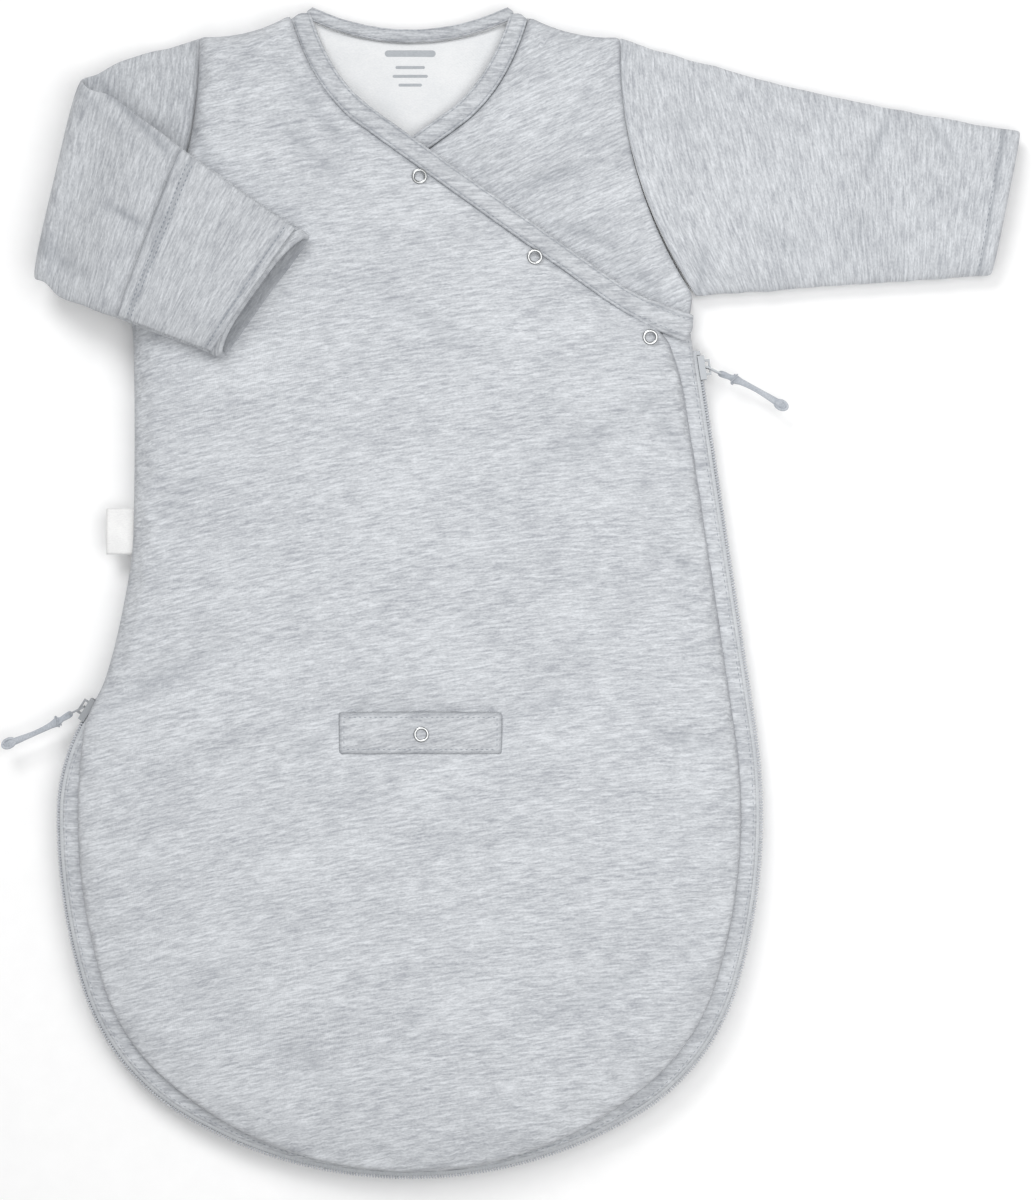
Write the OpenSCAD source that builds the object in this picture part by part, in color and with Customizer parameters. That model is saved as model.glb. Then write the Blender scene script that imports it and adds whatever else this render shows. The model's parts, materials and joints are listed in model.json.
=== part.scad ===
// Baby sleeping bag: a quilted jersey bag with long sleeves, a wrap-over chest and one long
// zip from the right armpit down the side, round the hem and up to the left hip.
// It lies flat on its back on z = 0 with the neck towards +Y. The left sleeve is folded at
// the elbow and rests on the chest. The origin is on the back face, on the centre line,
// halfway between neck and hem. "Left" is the -X side. All sizes are in millimetres.

/* [Body] */
// Length from the neck to the hem
bag_length = 600; // [580:2:630]
// Half width at the hips, centre line to zip edge
hip_half_width = 180; // [174:1:188]
// Half width across the chest at the left side seam
chest_half_width = 141; // [138:1:144]
// How far the hip line lies below the middle of the bag
hip_drop = 115; // [105:1:125]
// Lean of the right side, in degrees
side_lean = 8.6; // [8:0.1:9.2]

/* [Layers] */
// Thickness of a padded panel, shell to lining
panel_thickness = 9; // [6:0.5:14]
// Thickness of the jersey shell and of the lining
cloth_thickness = 0.8; // [0.5:0.1:1.2]
// Thickness of a sleeve lying flat
sleeve_thickness = 16; // [14:0.5:20]
// Thickness of the padding in a sleeve wall
sleeve_padding = 3; // [2:0.5:4]

/* [Neck and wrap] */
// Half width of the neck opening at the shoulders
neck_half_width = 60.6; // [56:0.5:65]
// Width of the jersey binding on the wrap edges
binding_width = 9.4; // [7:0.2:11]
// Width of the binding at the back of the neck
neck_binding_width = 6; // [5:0.2:8]

/* [Sleeves] */
// Length of the underarm seam
underarm_length = 151; // [140:1:165]
// Width of the cuff lying flat
cuff_width = 75; // [66:1:84]
// Depth of the cuff hem
cuff_hem_depth = 6.6; // [5:0.2:9]
// Length of the turn-over mitt, cuff edge to mitt hem
mitt_length = 66; // [50:1:80]
// Angle of the elbow fold line off the body's length
elbow_lean = 12.2; // [8:0.1:16]

/* [Zip] */
// Width of the facing strip seen between the front panel and the coil
facing_width = 11.3; // [9:0.1:13]
// Width of one coil half
coil_width = 3.5; // [3:0.1:4]
// Length of a slider
slider_length = 12.3; // [10:0.1:14]
// Length of a pull from its pivot to its end
pull_length = 47; // [35:1:60]

/* [Snaps] */
// Outer diameter of the ring snaps
snap_diameter = 7.9; // [7:0.1:9]
// Diameter of the stud that the socket grips
stud_diameter = 3.2; // [2.8:0.1:3.4]

/* [Harness slot] */
// Width of the patch over the slot
patch_width = 82.4; // [76:0.2:90]
// Height of the patch
patch_height = 21.4; // [19:0.2:24]
// Length of the slot
slot_length = 66; // [56:1:70]

/* [Hidden] */
$fn = 48;

// Heights of the layers, from the back face up
gap = 0.1;
strip_thickness = 1;
tape_thickness = 0.6;
coil_thickness = 1.9;
coil_parting = 1.2;
back_top = panel_thickness;
back_strip_z = back_top + 2 * gap;
back_tape_z = back_strip_z + strip_thickness + gap;
back_coil_z = back_tape_z + tape_thickness + gap;
front_coil_z = back_coil_z + coil_thickness + coil_parting;
front_tape_z = front_coil_z + coil_thickness + gap;
front_strip_z = front_tape_z + tape_thickness + gap;
front_z = front_strip_z + strip_thickness + 2 * gap;
front_top = front_z + panel_thickness;
under_z = back_top + 1.2;
under_top = front_z - 1.4;
sleeve_z = 1;
sleeve_top = sleeve_z + sleeve_thickness;

// The zip runs along this line: straight down the right side, then round four arcs
side_radius = 300;
corner_radius = 115;
corner_start = 17;
hem_y = -bag_length / 2;
side_centre_x = hip_half_width - side_radius;
run_top = [side_centre_x + side_radius * cos(side_lean), side_radius * sin(side_lean) - hip_drop]
    + 191.7 * [-sin(side_lean), cos(side_lean)];
run_direction = [sin(side_lean), -cos(side_lean)];
run_outward = [cos(side_lean), sin(side_lean)];
hip_radius = 100;
hip_centre = [hip_radius - hip_half_width, -hip_drop];
zip_end_angle = 142;
front_zip_start = slider_length + 1.3;

// The panel seam inside the zip has its own arcs, closer to the zip at the hem
seam_side_radius = side_radius - facing_width;
seam_corner_radius = 107;
seam_hem_y = hem_y + 4.4;
hip_seam_angle = 9.6;

// Landmarks of the body and the sleeves
shoulder_y = bag_length / 2 - 7.7;
arm_top = [108, bag_length / 2 - 18.5];
armpit = [chest_half_width + 5.3, bag_length / 2 - 149.8];
armhole_bow = 10.5;
seam_clearance = 0.3;
neck_corner = [-neck_half_width, shoulder_y];
wrap_start = neck_corner;
wrap_end = [144.5, 127];
cuff_low = armpit + [underarm_length * cos(4), underarm_length * sin(4)];
cuff_lean = 9.6;
cuff_high = cuff_low + cuff_width * [sin(cuff_lean), cos(cuff_lean)];
elbow = [180, 208.5];
fold_z = (front_top + 1 + sleeve_top) / 2;

// The front opens like a page about this line, just right of the folded sleeve
fold_x = -43;
fold_clearance = 0.4;

// Harness slot and patch
patch_centre = [5.9, -72.4];
patch_thickness = 1.4;
patch_z = front_top + 1.6;
slot_width = 4.2;
slot_centre = [patch_centre.x, patch_centre.y + 6.3];
welt_thickness = 0.6;
slot_snap = [patch_centre.x + 0.4, patch_centre.y - 0.5];

// Snaps on the wrap
first_snap = [5.3, 209];
snap_step = [58.3, -40.7];
wrap_snaps = [for (i = [0:2]) first_snap + i * snap_step];
ring_height = 1;
prong_length = 0.7;

// Colours of the cloth and the metal
melange = [0.77, 0.79, 0.81];
melange_dark = [0.72, 0.74, 0.77];
padding_white = [0.93, 0.93, 0.92];
lining_white = [0.96, 0.96, 0.95];
coil_grey = [0.70, 0.72, 0.74];
nickel = [0.82, 0.82, 0.80];

// ---- Curves --------------------------------------------------------------------------

function reversed(points) = [for (i = [len(points) - 1:-1:0]) points[i]];
function mirrored(points) = [for (p = points) [-p.x, p.y]];

// Points on an arc about a centre
function arc(centre, radius, from, to, steps) =
    [for (i = [0:steps]) let (a = from + (to - from) * i / steps)
        centre + radius * [cos(a), sin(a)]];

// Points on a shallow curve from p to q that bows to the left of the way from p to q
function bow(p, q, height, steps) =
    let (along = (q - p) / norm(q - p))
    [for (i = [0:steps]) let (t = i / steps)
        p + t * (q - p) + 4 * t * (1 - t) * height * [-along.y, along.x]];

// Points on a quadratic Bezier curve
function bezier(p, control, q, steps) =
    [for (i = [0:steps]) let (t = i / steps)
        (1 - t) * (1 - t) * p + 2 * t * (1 - t) * control + t * t * q];

// A path moved sideways, to its left where the distance is positive
function beside(path, distance) =
    [for (i = [0:len(path) - 1])
        let (before = path[max(i - 1, 0)], after = path[min(i + 1, len(path) - 1)],
             along = (after - before) / norm(after - before))
        path[i] + distance * [-along.y, along.x]];

// The closed outline of a band beside a path
function band(path, near, far) = concat(beside(path, near), reversed(beside(path, far)));

// Arcs round the hem from the right side to the left: side, corner, hem, corner, side
function hem_arcs(side_r, corner_r, bottom_y, right_angle, left_angle) =
    let (corner = [side_centre_x + (side_r - corner_r) * cos(corner_start),
                   -hip_drop - (side_r - corner_r) * sin(corner_start)],
         drop = bottom_y - corner.y,
         hem_r = (corner_r ^ 2 - corner.x ^ 2 - drop ^ 2) / (2 * (drop + corner_r)),
         hem_centre = [0, bottom_y + hem_r],
         turn = atan2(corner.y - hem_centre.y, corner.x),
         right_half = concat(
             arc([side_centre_x, -hip_drop], side_r, right_angle, -corner_start, 10),
             arc(corner, corner_r, -corner_start - 4, turn, 14),
             arc(hem_centre, hem_r, turn - 2, -90, 6)),
         left_half = concat(
             arc([side_centre_x, -hip_drop], side_r, left_angle, -corner_start, 10),
             arc(corner, corner_r, -corner_start - 4, turn, 14),
             arc(hem_centre, hem_r, turn - 2, -88, 6)))
    concat(right_half, reversed(mirrored(left_half)));

// A point on the straight right side: a distance below the zip's top, and outward of the zip
function run_point(below, outward) = run_top + below * run_direction + outward * run_outward;

// The zip's line moved outward, from a distance below its top to its end at the left hip
function zip_line(outward, below) = concat(
    [run_point(below, outward)],
    hem_arcs(side_radius + outward, corner_radius + outward, hem_y - outward, side_lean, 0),
    arc(hip_centre, hip_radius + outward, 176, zip_end_angle, 8));

function zip_band(outer, inner, below) =
    concat(zip_line(outer, below), reversed(zip_line(inner, below)));

// ---- Outlines ------------------------------------------------------------------------

body_armpit = armpit - [2.2, 0];
armhole = bow(body_armpit, arm_top - [0.8, 0], armhole_bow, 10);
shoulder = bow(arm_top - [0.8, 0], [neck_half_width, shoulder_y], 3, 5);
left_shoulder = reversed(mirrored(shoulder));
left_armhole = reversed(mirrored(armhole));
left_side = [
    [-chest_half_width, armpit.y - 25],
    [-chest_half_width, 30],
    [-chest_half_width - 2.5, 6],
    [-chest_half_width - 13.5, -44]
];
seam_arcs = hem_arcs(seam_side_radius, seam_corner_radius, seam_hem_y, side_lean, hip_seam_angle);

// Lower edge of the wrap binding, from the left neck to the right side
wrap_edge = concat(
    bezier(wrap_start, [-50, 256], [-27.6, 238], 7),
    bezier([98, 148.5], [118, 134.5], wrap_end, 5));
// The under layer has the same edge mirrored, and stops short under the wrap
under_edge = concat(
    bezier([-wrap_start.x, wrap_start.y], [50, 256], [27.6, 238], 7),
    [[-70, 168.5]]);

neck_curve = bow([50, bag_length / 2 - 9.5], [-50, bag_length / 2 - 9.5], 10.5, 12);

back_outline = concat(
    [body_armpit], armhole, shoulder, neck_curve, left_shoulder, left_armhole,
    left_side, reversed(seam_arcs), [run_point(20, -facing_width)]);

front_outline = concat(
    wrap_edge_inside_panel(), [run_point(-9, -15), run_point(6, -12.3)],
    [run_point(20, -facing_width)], seam_arcs, reversed(left_side),
    reversed(left_armhole), reversed(left_shoulder));

// The wrap edge as far as the front panel's right corner
function wrap_edge_inside_panel() = [for (p = wrap_edge) if (p.x < run_point(-9, -15).x) p];

under_outline = concat(
    under_edge, [[-70, 105], [131.5, 105], [131.5, 123], run_point(-3, -7.5)],
    armhole, shoulder);

// A sleeve's outline, narrowed by inset and lengthened past both ends by reach
function sleeve_outline(inset, reach) =
    let (top = bezier(arm_top, [200, arm_top.y - 30], cuff_high, 10),
         slope = [cos(cuff_lean), -sin(cuff_lean)])
    concat(
        [for (p = top) p - [0, inset * 1.03]],
        [cuff_high - [0, inset] + reach * slope, cuff_low + [0, inset] + reach * slope],
        reach > 0
            ? [armpit + [-reach, inset - 1], arm_top + [-reach, 6 - inset]]
            : bow(armpit + [0.4, inset], arm_top + [0, -inset * 1.03], armhole_bow, 10));

// ---- Solids and cuts -----------------------------------------------------------------

// An outline as a flat slab between two heights
module slab(outline, low, high) {
    translate([0, 0, low]) linear_extrude(high - low) polygon(outline);
}

// Keeps the part of a solid whose distance past a line through a point is in a range
module keep_between(point, angle, near, far) {
    intersection() {
        children();
        translate([point.x, point.y, -20])
            rotate(angle)
                translate([near, -400, 0]) cube([far - near, 800, 120]);
    }
}

module keep_flap() {
    keep_between([fold_x, 0], 0, fold_clearance, 500) children();
}

module keep_side() {
    keep_between([fold_x, 0], 0, -500, -fold_clearance) children();
}

module slot_hole(low, high) {
    translate([slot_centre.x - slot_length / 2, slot_centre.y - slot_width / 2, low])
        cube([slot_length, slot_width, high - low]);
}

// One layer of the front, with the slot cut through it
module front_layer(low, high) {
    difference() {
        slab(front_outline, low, high);
        slot_hole(low - 1, high + 1);
    }
}

// The hem facing of the slot, a flat sleeve sewn round the cut
module slot_welt(low, high) {
    inner_length = slot_length - 2 * welt_thickness - 2 * gap;
    inner_width = slot_width - 2 * welt_thickness - 2 * gap;
    translate([slot_centre.x, slot_centre.y, low])
        difference() {
            translate([gap - slot_length / 2, gap - slot_width / 2, 0])
                cube([slot_length - 2 * gap, slot_width - 2 * gap, high - low]);
            translate([-inner_length / 2, -inner_width / 2, -1])
                cube([inner_length, inner_width, high - low + 2]);
        }
}

// A strip, tape or coil of the zip, between two distances outward of the zip's line
module zip_layer(outer, inner, below, low, thickness) {
    slab(zip_band(outer, inner, below), low, low + thickness);
}

module facing_strip(low) {
    zip_layer(-coil_width - gap, -coil_width - 10.5, 0, low, strip_thickness);
}

module zip_tape(low, below) {
    zip_layer(-2, -coil_width - 11.5, below, low, tape_thickness);
}

module zip_coil(low, below) {
    zip_layer(0, -coil_width, below, low, coil_thickness);
}

// ---- Sleeves -------------------------------------------------------------------------

shell_depth = cloth_thickness;
padding_depth = shell_depth + gap + sleeve_padding;
lining_depth = padding_depth + gap + cloth_thickness;

// A wall of the sleeve between two depths below its surface
module sleeve_wall(outer, inner) {
    difference() {
        slab(sleeve_outline(outer, 0), sleeve_z + outer, sleeve_top - outer);
        slab(sleeve_outline(inner, 30), sleeve_z + inner, sleeve_top - inner);
    }
}

module upper_sleeve(outer, inner) {
    keep_between(elbow, elbow_lean, -300, -seam_clearance) sleeve_wall(outer, inner);
}

module forearm(outer, inner) {
    keep_between(cuff_low, -cuff_lean, -400, -cuff_hem_depth - gap)
        keep_between(elbow, elbow_lean, seam_clearance, 300)
            sleeve_wall(outer, inner);
}

module cuff_hem() {
    keep_between(cuff_low, -cuff_lean, -cuff_hem_depth, 0) sleeve_wall(0, lining_depth);
}

// The turn-over mitt lies flat against the back of the sleeve
module mitt() {
    keep_between(cuff_low, -cuff_lean, -mitt_length, -0.3)
        slab(sleeve_outline(1, 0), gap, sleeve_z - gap);
}

// Takes a part of the right forearm to the left one, folded at the elbow onto the chest
module folded_left() {
    mirror([1, 0, 0])
        translate([elbow.x, elbow.y, fold_z])
            rotate(180, [-sin(elbow_lean), cos(elbow_lean), 0])
                translate([-elbow.x, -elbow.y, -fold_z])
                    children();
}

// ---- Snaps ---------------------------------------------------------------------------

// An open ring whose prongs point up or down through the cloth
module prong_ring(prong_side) {
    prong_circle = snap_diameter / 2 - 0.8;
    difference() {
        cylinder(d = snap_diameter, h = ring_height);
        translate([0, 0, -1]) cylinder(d = snap_diameter - 2.8, h = ring_height + 2);
    }
    for (i = [0:4])
        rotate(i * 72)
            translate([prong_circle, 0, prong_side > 0 ? ring_height - 0.2 : -prong_length])
                cylinder(r = 0.3, h = prong_length + 0.2, $fn = 16);
}

module snap_stud() {
    cylinder(d = snap_diameter - 0.8, h = 0.4);
    cylinder(d = stud_diameter, h = 1.2);
}

module snap_socket() {
    difference() {
        cylinder(d = snap_diameter - 0.8, h = 0.9);
        translate([0, 0, -1]) cylinder(d = stud_diameter + 0.8, h = 3);
    }
}

// ---- Slider and pull: x outward of the zip's line, y along it -------------------------

post_thickness = 0.9;
slider_z = back_coil_z + coil_thickness + coil_parting / 2;
pivot_x = 2.5;
bail_reach = 8;
bail_half_height = 3.3;
bail_wire = 0.8;

// A block given by its lowest corner and its size, with z measured from the slider's middle
module slider_block(corner, size) {
    translate([corner.x, corner.y, slider_z + corner.z]) cube(size);
}

module slider(post_side) {
    half = slider_length / 2;
    plate_half_height = 3.7;
    inner_half_height = 2.4;
    flange_reach = 2.1;
    bridge_half = 4;
    // Outer and inner plates on each side of the coil
    slider_block([0.3, -half, -plate_half_height], [1.2, slider_length, 2 * plate_half_height]);
    slider_block([-5.2, -half, -inner_half_height], [1.2, slider_length, 2 * inner_half_height]);
    // Flanges that hold the coil against the outer plate
    for (low = [-plate_half_height, plate_half_height - 1])
        slider_block([0.3 - flange_reach, -half, low], [flange_reach + 0.1, slider_length, 1]);
    // Post between the coil halves
    slider_block([-4.6, post_side > 0 ? half - 3 : -half, -post_thickness / 2],
                 [5.4, 3, post_thickness]);
    // Bridge that keeps the pull's bail
    slider_block([3.4, -bridge_half, -1], [0.9, 2 * bridge_half, 2]);
    for (y = [-bridge_half, bridge_half - 1])
        slider_block([1.4, y, -1], [2.5, 1, 2]);
}

// Wire frame that pivots under the slider's bridge
module pull_bail() {
    slider_block([pivot_x - 0.6, -0.6, -bail_half_height], [1.2, 1.2, 2 * bail_half_height]);
    for (low = [-bail_half_height, bail_half_height - bail_wire])
        slider_block([pivot_x - 0.5, -bail_wire / 2, low], [bail_reach, bail_wire, bail_wire]);
    slider_block([pivot_x + bail_reach - bail_wire, -bail_wire / 2, -bail_half_height],
                 [bail_wire, bail_wire, 2 * bail_half_height]);
}

// Ribbon tied through the bail, with a knot at its end
module pull_ribbon() {
    hole = bail_wire + 0.4;
    start = bail_reach - 2.6;
    thickness = 2.2;
    difference() {
        union() {
            slider_block([pivot_x + start, -1.8, -thickness / 2],
                         [pull_length - start - 2, 3.6, thickness]);
            translate([pivot_x + pull_length - 2.4, 0, slider_z - 1.6])
                cylinder(r = 2.4, h = 3.2);
        }
        slider_block([pivot_x + bail_reach - bail_wire - 0.2, -hole / 2, -thickness],
                     [hole, hole, 2 * thickness]);
    }
}

right_slider_place = run_point(slider_length / 2 + 0.2, 0);
left_slider_angle = 147.3;
left_slider_place = hip_centre + hip_radius * [cos(left_slider_angle), sin(left_slider_angle)];
right_pull_turn = -26 - side_lean;
left_pull_turn = 206.8 - left_slider_angle;

module at_right_slider() {
    translate([right_slider_place.x, right_slider_place.y, 0]) rotate(side_lean) children();
}

module at_left_slider() {
    translate([left_slider_place.x, left_slider_place.y, 0])
        rotate(left_slider_angle) children();
}

// Turns a pull about its pivot on the slider
module turned_pull(angle) {
    translate([pivot_x, 0, 0]) rotate(angle) translate([-pivot_x, 0, 0]) children();
}

// ---- Back ----------------------------------------------------------------------------

module back_shell() {
    color(melange) difference() {
        slab(back_outline, 0, cloth_thickness);
        slot_hole(-1, cloth_thickness + 1);
    }
}

module back_padding() {
    color(padding_white) difference() {
        slab(back_outline, cloth_thickness + gap, back_top - cloth_thickness - gap);
        slot_hole(0, back_top);
    }
}

module back_lining() {
    color(lining_white) difference() {
        slab(back_outline, back_top - cloth_thickness, back_top);
        slot_hole(0, back_top + 1);
    }
}

module back_neck_binding() {
    color(melange_dark)
        slab(band(reversed(neck_curve), 0.3, neck_binding_width), 0.3, back_top + gap);
}

module back_slot_welt() {
    color(melange_dark) slot_welt(0, back_top);
}

module back_strip() {
    color(melange_dark) facing_strip(back_strip_z);
}

module zip_tape_back() {
    color(coil_grey) zip_tape(back_tape_z, 0);
}

module zip_coil_back() {
    color(coil_grey) zip_coil(back_coil_z, 0);
}

// Stops beyond the coil at both ends of the zip
module zip_stops() {
    stop_length = 2;
    color(nickel) {
        translate([run_top.x, run_top.y, back_coil_z])
            rotate(side_lean)
                translate([-coil_width, 0.3, 0])
                    cube([coil_width, stop_length, 2 * coil_thickness + coil_parting]);
        end = hip_centre + hip_radius * [cos(zip_end_angle), sin(zip_end_angle)];
        translate([end.x, end.y, back_coil_z])
            rotate(zip_end_angle)
                translate([-coil_width, -stop_length - 0.3, 0])
                    cube([coil_width, stop_length, 2 * coil_thickness + coil_parting]);
    }
}

// Folded label sewn into the left side seam
module side_label() {
    label_depth = 15.6;
    label_height = 23.4;
    color(lining_white)
        translate([-chest_half_width - 13.6, 18.1, back_top + 4])
            cube([label_depth, label_height, 1.2]);
}

// ---- Left part of the front, sewn to the side -----------------------------------------

module front_side_shell() {
    color(melange) keep_side() front_layer(front_top - cloth_thickness, front_top);
}

module front_side_padding() {
    color(padding_white) keep_side()
        front_layer(front_z + cloth_thickness + gap, front_top - cloth_thickness - gap);
}

module front_side_lining() {
    color(lining_white) keep_side() front_layer(front_z, front_z + cloth_thickness);
}

module whole_wrap_binding() {
    slab(band(wrap_edge, 0.2, binding_width), front_z, front_top + 0.3);
}

module wrap_binding_side() {
    color(melange_dark) keep_side() whole_wrap_binding();
}

module front_side_strip() {
    color(melange_dark) keep_side() facing_strip(front_strip_z);
}

module zip_tape_front_side() {
    color(coil_grey) keep_side() zip_tape(front_tape_z, front_zip_start);
}

module zip_coil_front_side() {
    color(coil_grey) keep_side() zip_coil(front_coil_z, front_zip_start);
}

// ---- Under layer of the chest, sewn to the right side ----------------------------------

module under_front_shell() {
    color(melange) slab(under_outline, under_top - cloth_thickness, under_top);
}

module under_front_padding() {
    color(padding_white)
        slab(under_outline, under_z + cloth_thickness + gap, under_top - cloth_thickness - gap);
}

module under_front_lining() {
    color(lining_white) slab(under_outline, under_z, under_z + cloth_thickness);
}

module under_front_binding() {
    color(melange_dark)
        slab(band(under_edge, -0.2, -binding_width), under_z, under_top + 0.3);
}

module wrap_snap_studs() {
    color(nickel) for (p = wrap_snaps)
        translate([p.x, p.y, under_top + gap / 2]) snap_stud();
}

module wrap_snap_stud_rings() {
    color(nickel) for (p = wrap_snaps)
        translate([p.x, p.y, under_z - ring_height - gap / 2]) prong_ring(1);
}

// ---- Upper sleeves ---------------------------------------------------------------------

module right_upper_sleeve_shell() {
    color(melange) upper_sleeve(0, shell_depth);
}

module right_upper_sleeve_padding() {
    color(padding_white) upper_sleeve(shell_depth + gap, padding_depth);
}

module right_upper_sleeve_lining() {
    color(lining_white) upper_sleeve(padding_depth + gap, lining_depth);
}

module left_upper_sleeve_shell() {
    mirror([1, 0, 0]) right_upper_sleeve_shell();
}

module left_upper_sleeve_padding() {
    mirror([1, 0, 0]) right_upper_sleeve_padding();
}

module left_upper_sleeve_lining() {
    mirror([1, 0, 0]) right_upper_sleeve_lining();
}

// ---- Opening part of the front ---------------------------------------------------------

module front_shell() {
    color(melange) keep_flap() front_layer(front_top - cloth_thickness, front_top);
}

module front_padding() {
    color(padding_white) keep_flap()
        front_layer(front_z + cloth_thickness + gap, front_top - cloth_thickness - gap);
}

module front_lining() {
    color(lining_white) keep_flap() front_layer(front_z, front_z + cloth_thickness);
}

module wrap_binding() {
    color(melange_dark) keep_flap() whole_wrap_binding();
}

module front_strip() {
    color(melange_dark) keep_flap() facing_strip(front_strip_z);
}

module zip_tape_front() {
    color(coil_grey) keep_flap() zip_tape(front_tape_z, front_zip_start);
}

module zip_coil_front() {
    color(coil_grey) keep_flap() zip_coil(front_coil_z, front_zip_start);
}

module wrap_snap_caps() {
    color(nickel) for (p = wrap_snaps)
        translate([p.x, p.y, front_top + gap / 2]) prong_ring(-1);
}

module wrap_snap_sockets() {
    color(nickel) for (p = wrap_snaps)
        translate([p.x, p.y, front_z - 0.95]) snap_socket();
}

module front_slot_welt() {
    color(melange_dark) slot_welt(front_z, front_top);
}

module slot_snap_stud() {
    color(nickel) translate([slot_snap.x, slot_snap.y, front_top + gap / 2]) snap_stud();
}

module slot_snap_ring() {
    color(nickel)
        translate([slot_snap.x, slot_snap.y, front_z - ring_height - gap / 2]) prong_ring(1);
}

// ---- Patch over the harness slot, hinged on its sewn lower edge -------------------------

module slot_flap() {
    corner = 1.5;
    color(melange_dark)
        translate([patch_centre.x, patch_centre.y, patch_z])
            linear_extrude(patch_thickness)
                polygon(concat(
                    arc([patch_width / 2 - corner, patch_height / 2 - corner], corner, 0, 90, 4),
                    arc([corner - patch_width / 2, patch_height / 2 - corner], corner, 90, 180, 4),
                    arc([corner - patch_width / 2, corner - patch_height / 2], corner, 180, 270, 4),
                    arc([patch_width / 2 - corner, corner - patch_height / 2], corner, 270, 360, 4)));
}

module slot_snap_cap() {
    color(nickel)
        translate([slot_snap.x, slot_snap.y, patch_z + patch_thickness + gap / 2])
            prong_ring(-1);
}

module slot_snap_socket() {
    color(nickel) translate([slot_snap.x, slot_snap.y, patch_z - 0.95]) snap_socket();
}

// ---- Sliders and pulls -----------------------------------------------------------------

module right_slider() {
    color(nickel) at_right_slider() slider(1);
}

module right_pull_bail() {
    color(nickel) at_right_slider() turned_pull(right_pull_turn) pull_bail();
}

module right_pull_ribbon() {
    color(lining_white) at_right_slider() turned_pull(right_pull_turn) pull_ribbon();
}

module left_slider() {
    color(nickel) at_left_slider() slider(-1);
}

module left_pull_bail() {
    color(nickel) at_left_slider() turned_pull(left_pull_turn) pull_bail();
}

module left_pull_ribbon() {
    color(lining_white) at_left_slider() turned_pull(left_pull_turn) pull_ribbon();
}

// ---- Forearms, cuffs and mitts -----------------------------------------------------------

module right_forearm_shell() {
    color(melange) forearm(0, shell_depth);
}

module right_forearm_padding() {
    color(padding_white) forearm(shell_depth + gap, padding_depth);
}

module right_forearm_lining() {
    color(lining_white) forearm(padding_depth + gap, lining_depth);
}

module right_cuff_hem() {
    color(melange_dark) cuff_hem();
}

module right_mitt() {
    color(melange) mitt();
}

module left_forearm_shell() {
    folded_left() right_forearm_shell();
}

module left_forearm_padding() {
    folded_left() right_forearm_padding();
}

module left_forearm_lining() {
    folded_left() right_forearm_lining();
}

module left_cuff_hem() {
    folded_left() right_cuff_hem();
}

module left_mitt() {
    folded_left() right_mitt();
}

back_shell();
back_padding();
back_lining();
back_neck_binding();
back_slot_welt();
back_strip();
zip_tape_back();
zip_coil_back();
zip_stops();
side_label();
front_side_shell();
front_side_padding();
front_side_lining();
wrap_binding_side();
front_side_strip();
zip_tape_front_side();
zip_coil_front_side();
under_front_shell();
under_front_padding();
under_front_lining();
under_front_binding();
wrap_snap_studs();
wrap_snap_stud_rings();
right_upper_sleeve_shell();
right_upper_sleeve_padding();
right_upper_sleeve_lining();
left_upper_sleeve_shell();
left_upper_sleeve_padding();
left_upper_sleeve_lining();
front_shell();
front_padding();
front_lining();
wrap_binding();
front_strip();
zip_tape_front();
zip_coil_front();
wrap_snap_caps();
wrap_snap_sockets();
front_slot_welt();
slot_snap_stud();
slot_snap_ring();
slot_flap();
slot_snap_cap();
slot_snap_socket();
right_slider();
right_pull_bail();
right_pull_ribbon();
left_slider();
left_pull_bail();
left_pull_ribbon();
right_forearm_shell();
right_forearm_padding();
right_forearm_lining();
right_cuff_hem();
right_mitt();
left_forearm_shell();
left_forearm_padding();
left_forearm_lining();
left_cuff_hem();
left_mitt();
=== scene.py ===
"""A padded jersey baby sleeping bag lying flat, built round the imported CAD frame.

Lengths are in millimetres in this script, and become metres when a mesh is made.
"""

import json
import math
from collections import defaultdict, namedtuple

import bmesh
import bpy
import numpy as np
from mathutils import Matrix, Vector, noise
from mathutils.bvhtree import BVHTree
from mathutils.geometry import delaunay_2d_cdt


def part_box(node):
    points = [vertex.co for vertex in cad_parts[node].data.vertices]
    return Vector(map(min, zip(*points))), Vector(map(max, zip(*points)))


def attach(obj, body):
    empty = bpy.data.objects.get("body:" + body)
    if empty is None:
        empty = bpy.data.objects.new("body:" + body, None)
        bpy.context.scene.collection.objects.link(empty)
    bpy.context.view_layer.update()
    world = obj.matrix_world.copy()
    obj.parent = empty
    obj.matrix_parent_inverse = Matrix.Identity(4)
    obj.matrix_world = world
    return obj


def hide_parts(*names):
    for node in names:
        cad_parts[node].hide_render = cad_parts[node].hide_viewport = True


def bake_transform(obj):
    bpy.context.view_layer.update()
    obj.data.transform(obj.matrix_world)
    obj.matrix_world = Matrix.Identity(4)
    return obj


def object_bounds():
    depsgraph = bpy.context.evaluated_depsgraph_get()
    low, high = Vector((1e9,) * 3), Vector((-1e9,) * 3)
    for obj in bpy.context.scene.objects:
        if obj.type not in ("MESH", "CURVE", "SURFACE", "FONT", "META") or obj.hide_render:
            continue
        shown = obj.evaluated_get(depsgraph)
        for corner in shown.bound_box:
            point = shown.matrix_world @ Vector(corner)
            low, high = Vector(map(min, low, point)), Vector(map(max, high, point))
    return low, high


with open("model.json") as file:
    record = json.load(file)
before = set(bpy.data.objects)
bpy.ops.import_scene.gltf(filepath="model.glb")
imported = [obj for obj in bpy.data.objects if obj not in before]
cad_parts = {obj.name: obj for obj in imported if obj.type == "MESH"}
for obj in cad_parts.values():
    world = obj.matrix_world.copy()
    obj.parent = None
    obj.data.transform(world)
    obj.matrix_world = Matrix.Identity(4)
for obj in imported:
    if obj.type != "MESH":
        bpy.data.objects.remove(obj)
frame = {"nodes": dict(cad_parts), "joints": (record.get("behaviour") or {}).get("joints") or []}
cad_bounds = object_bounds()

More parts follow.
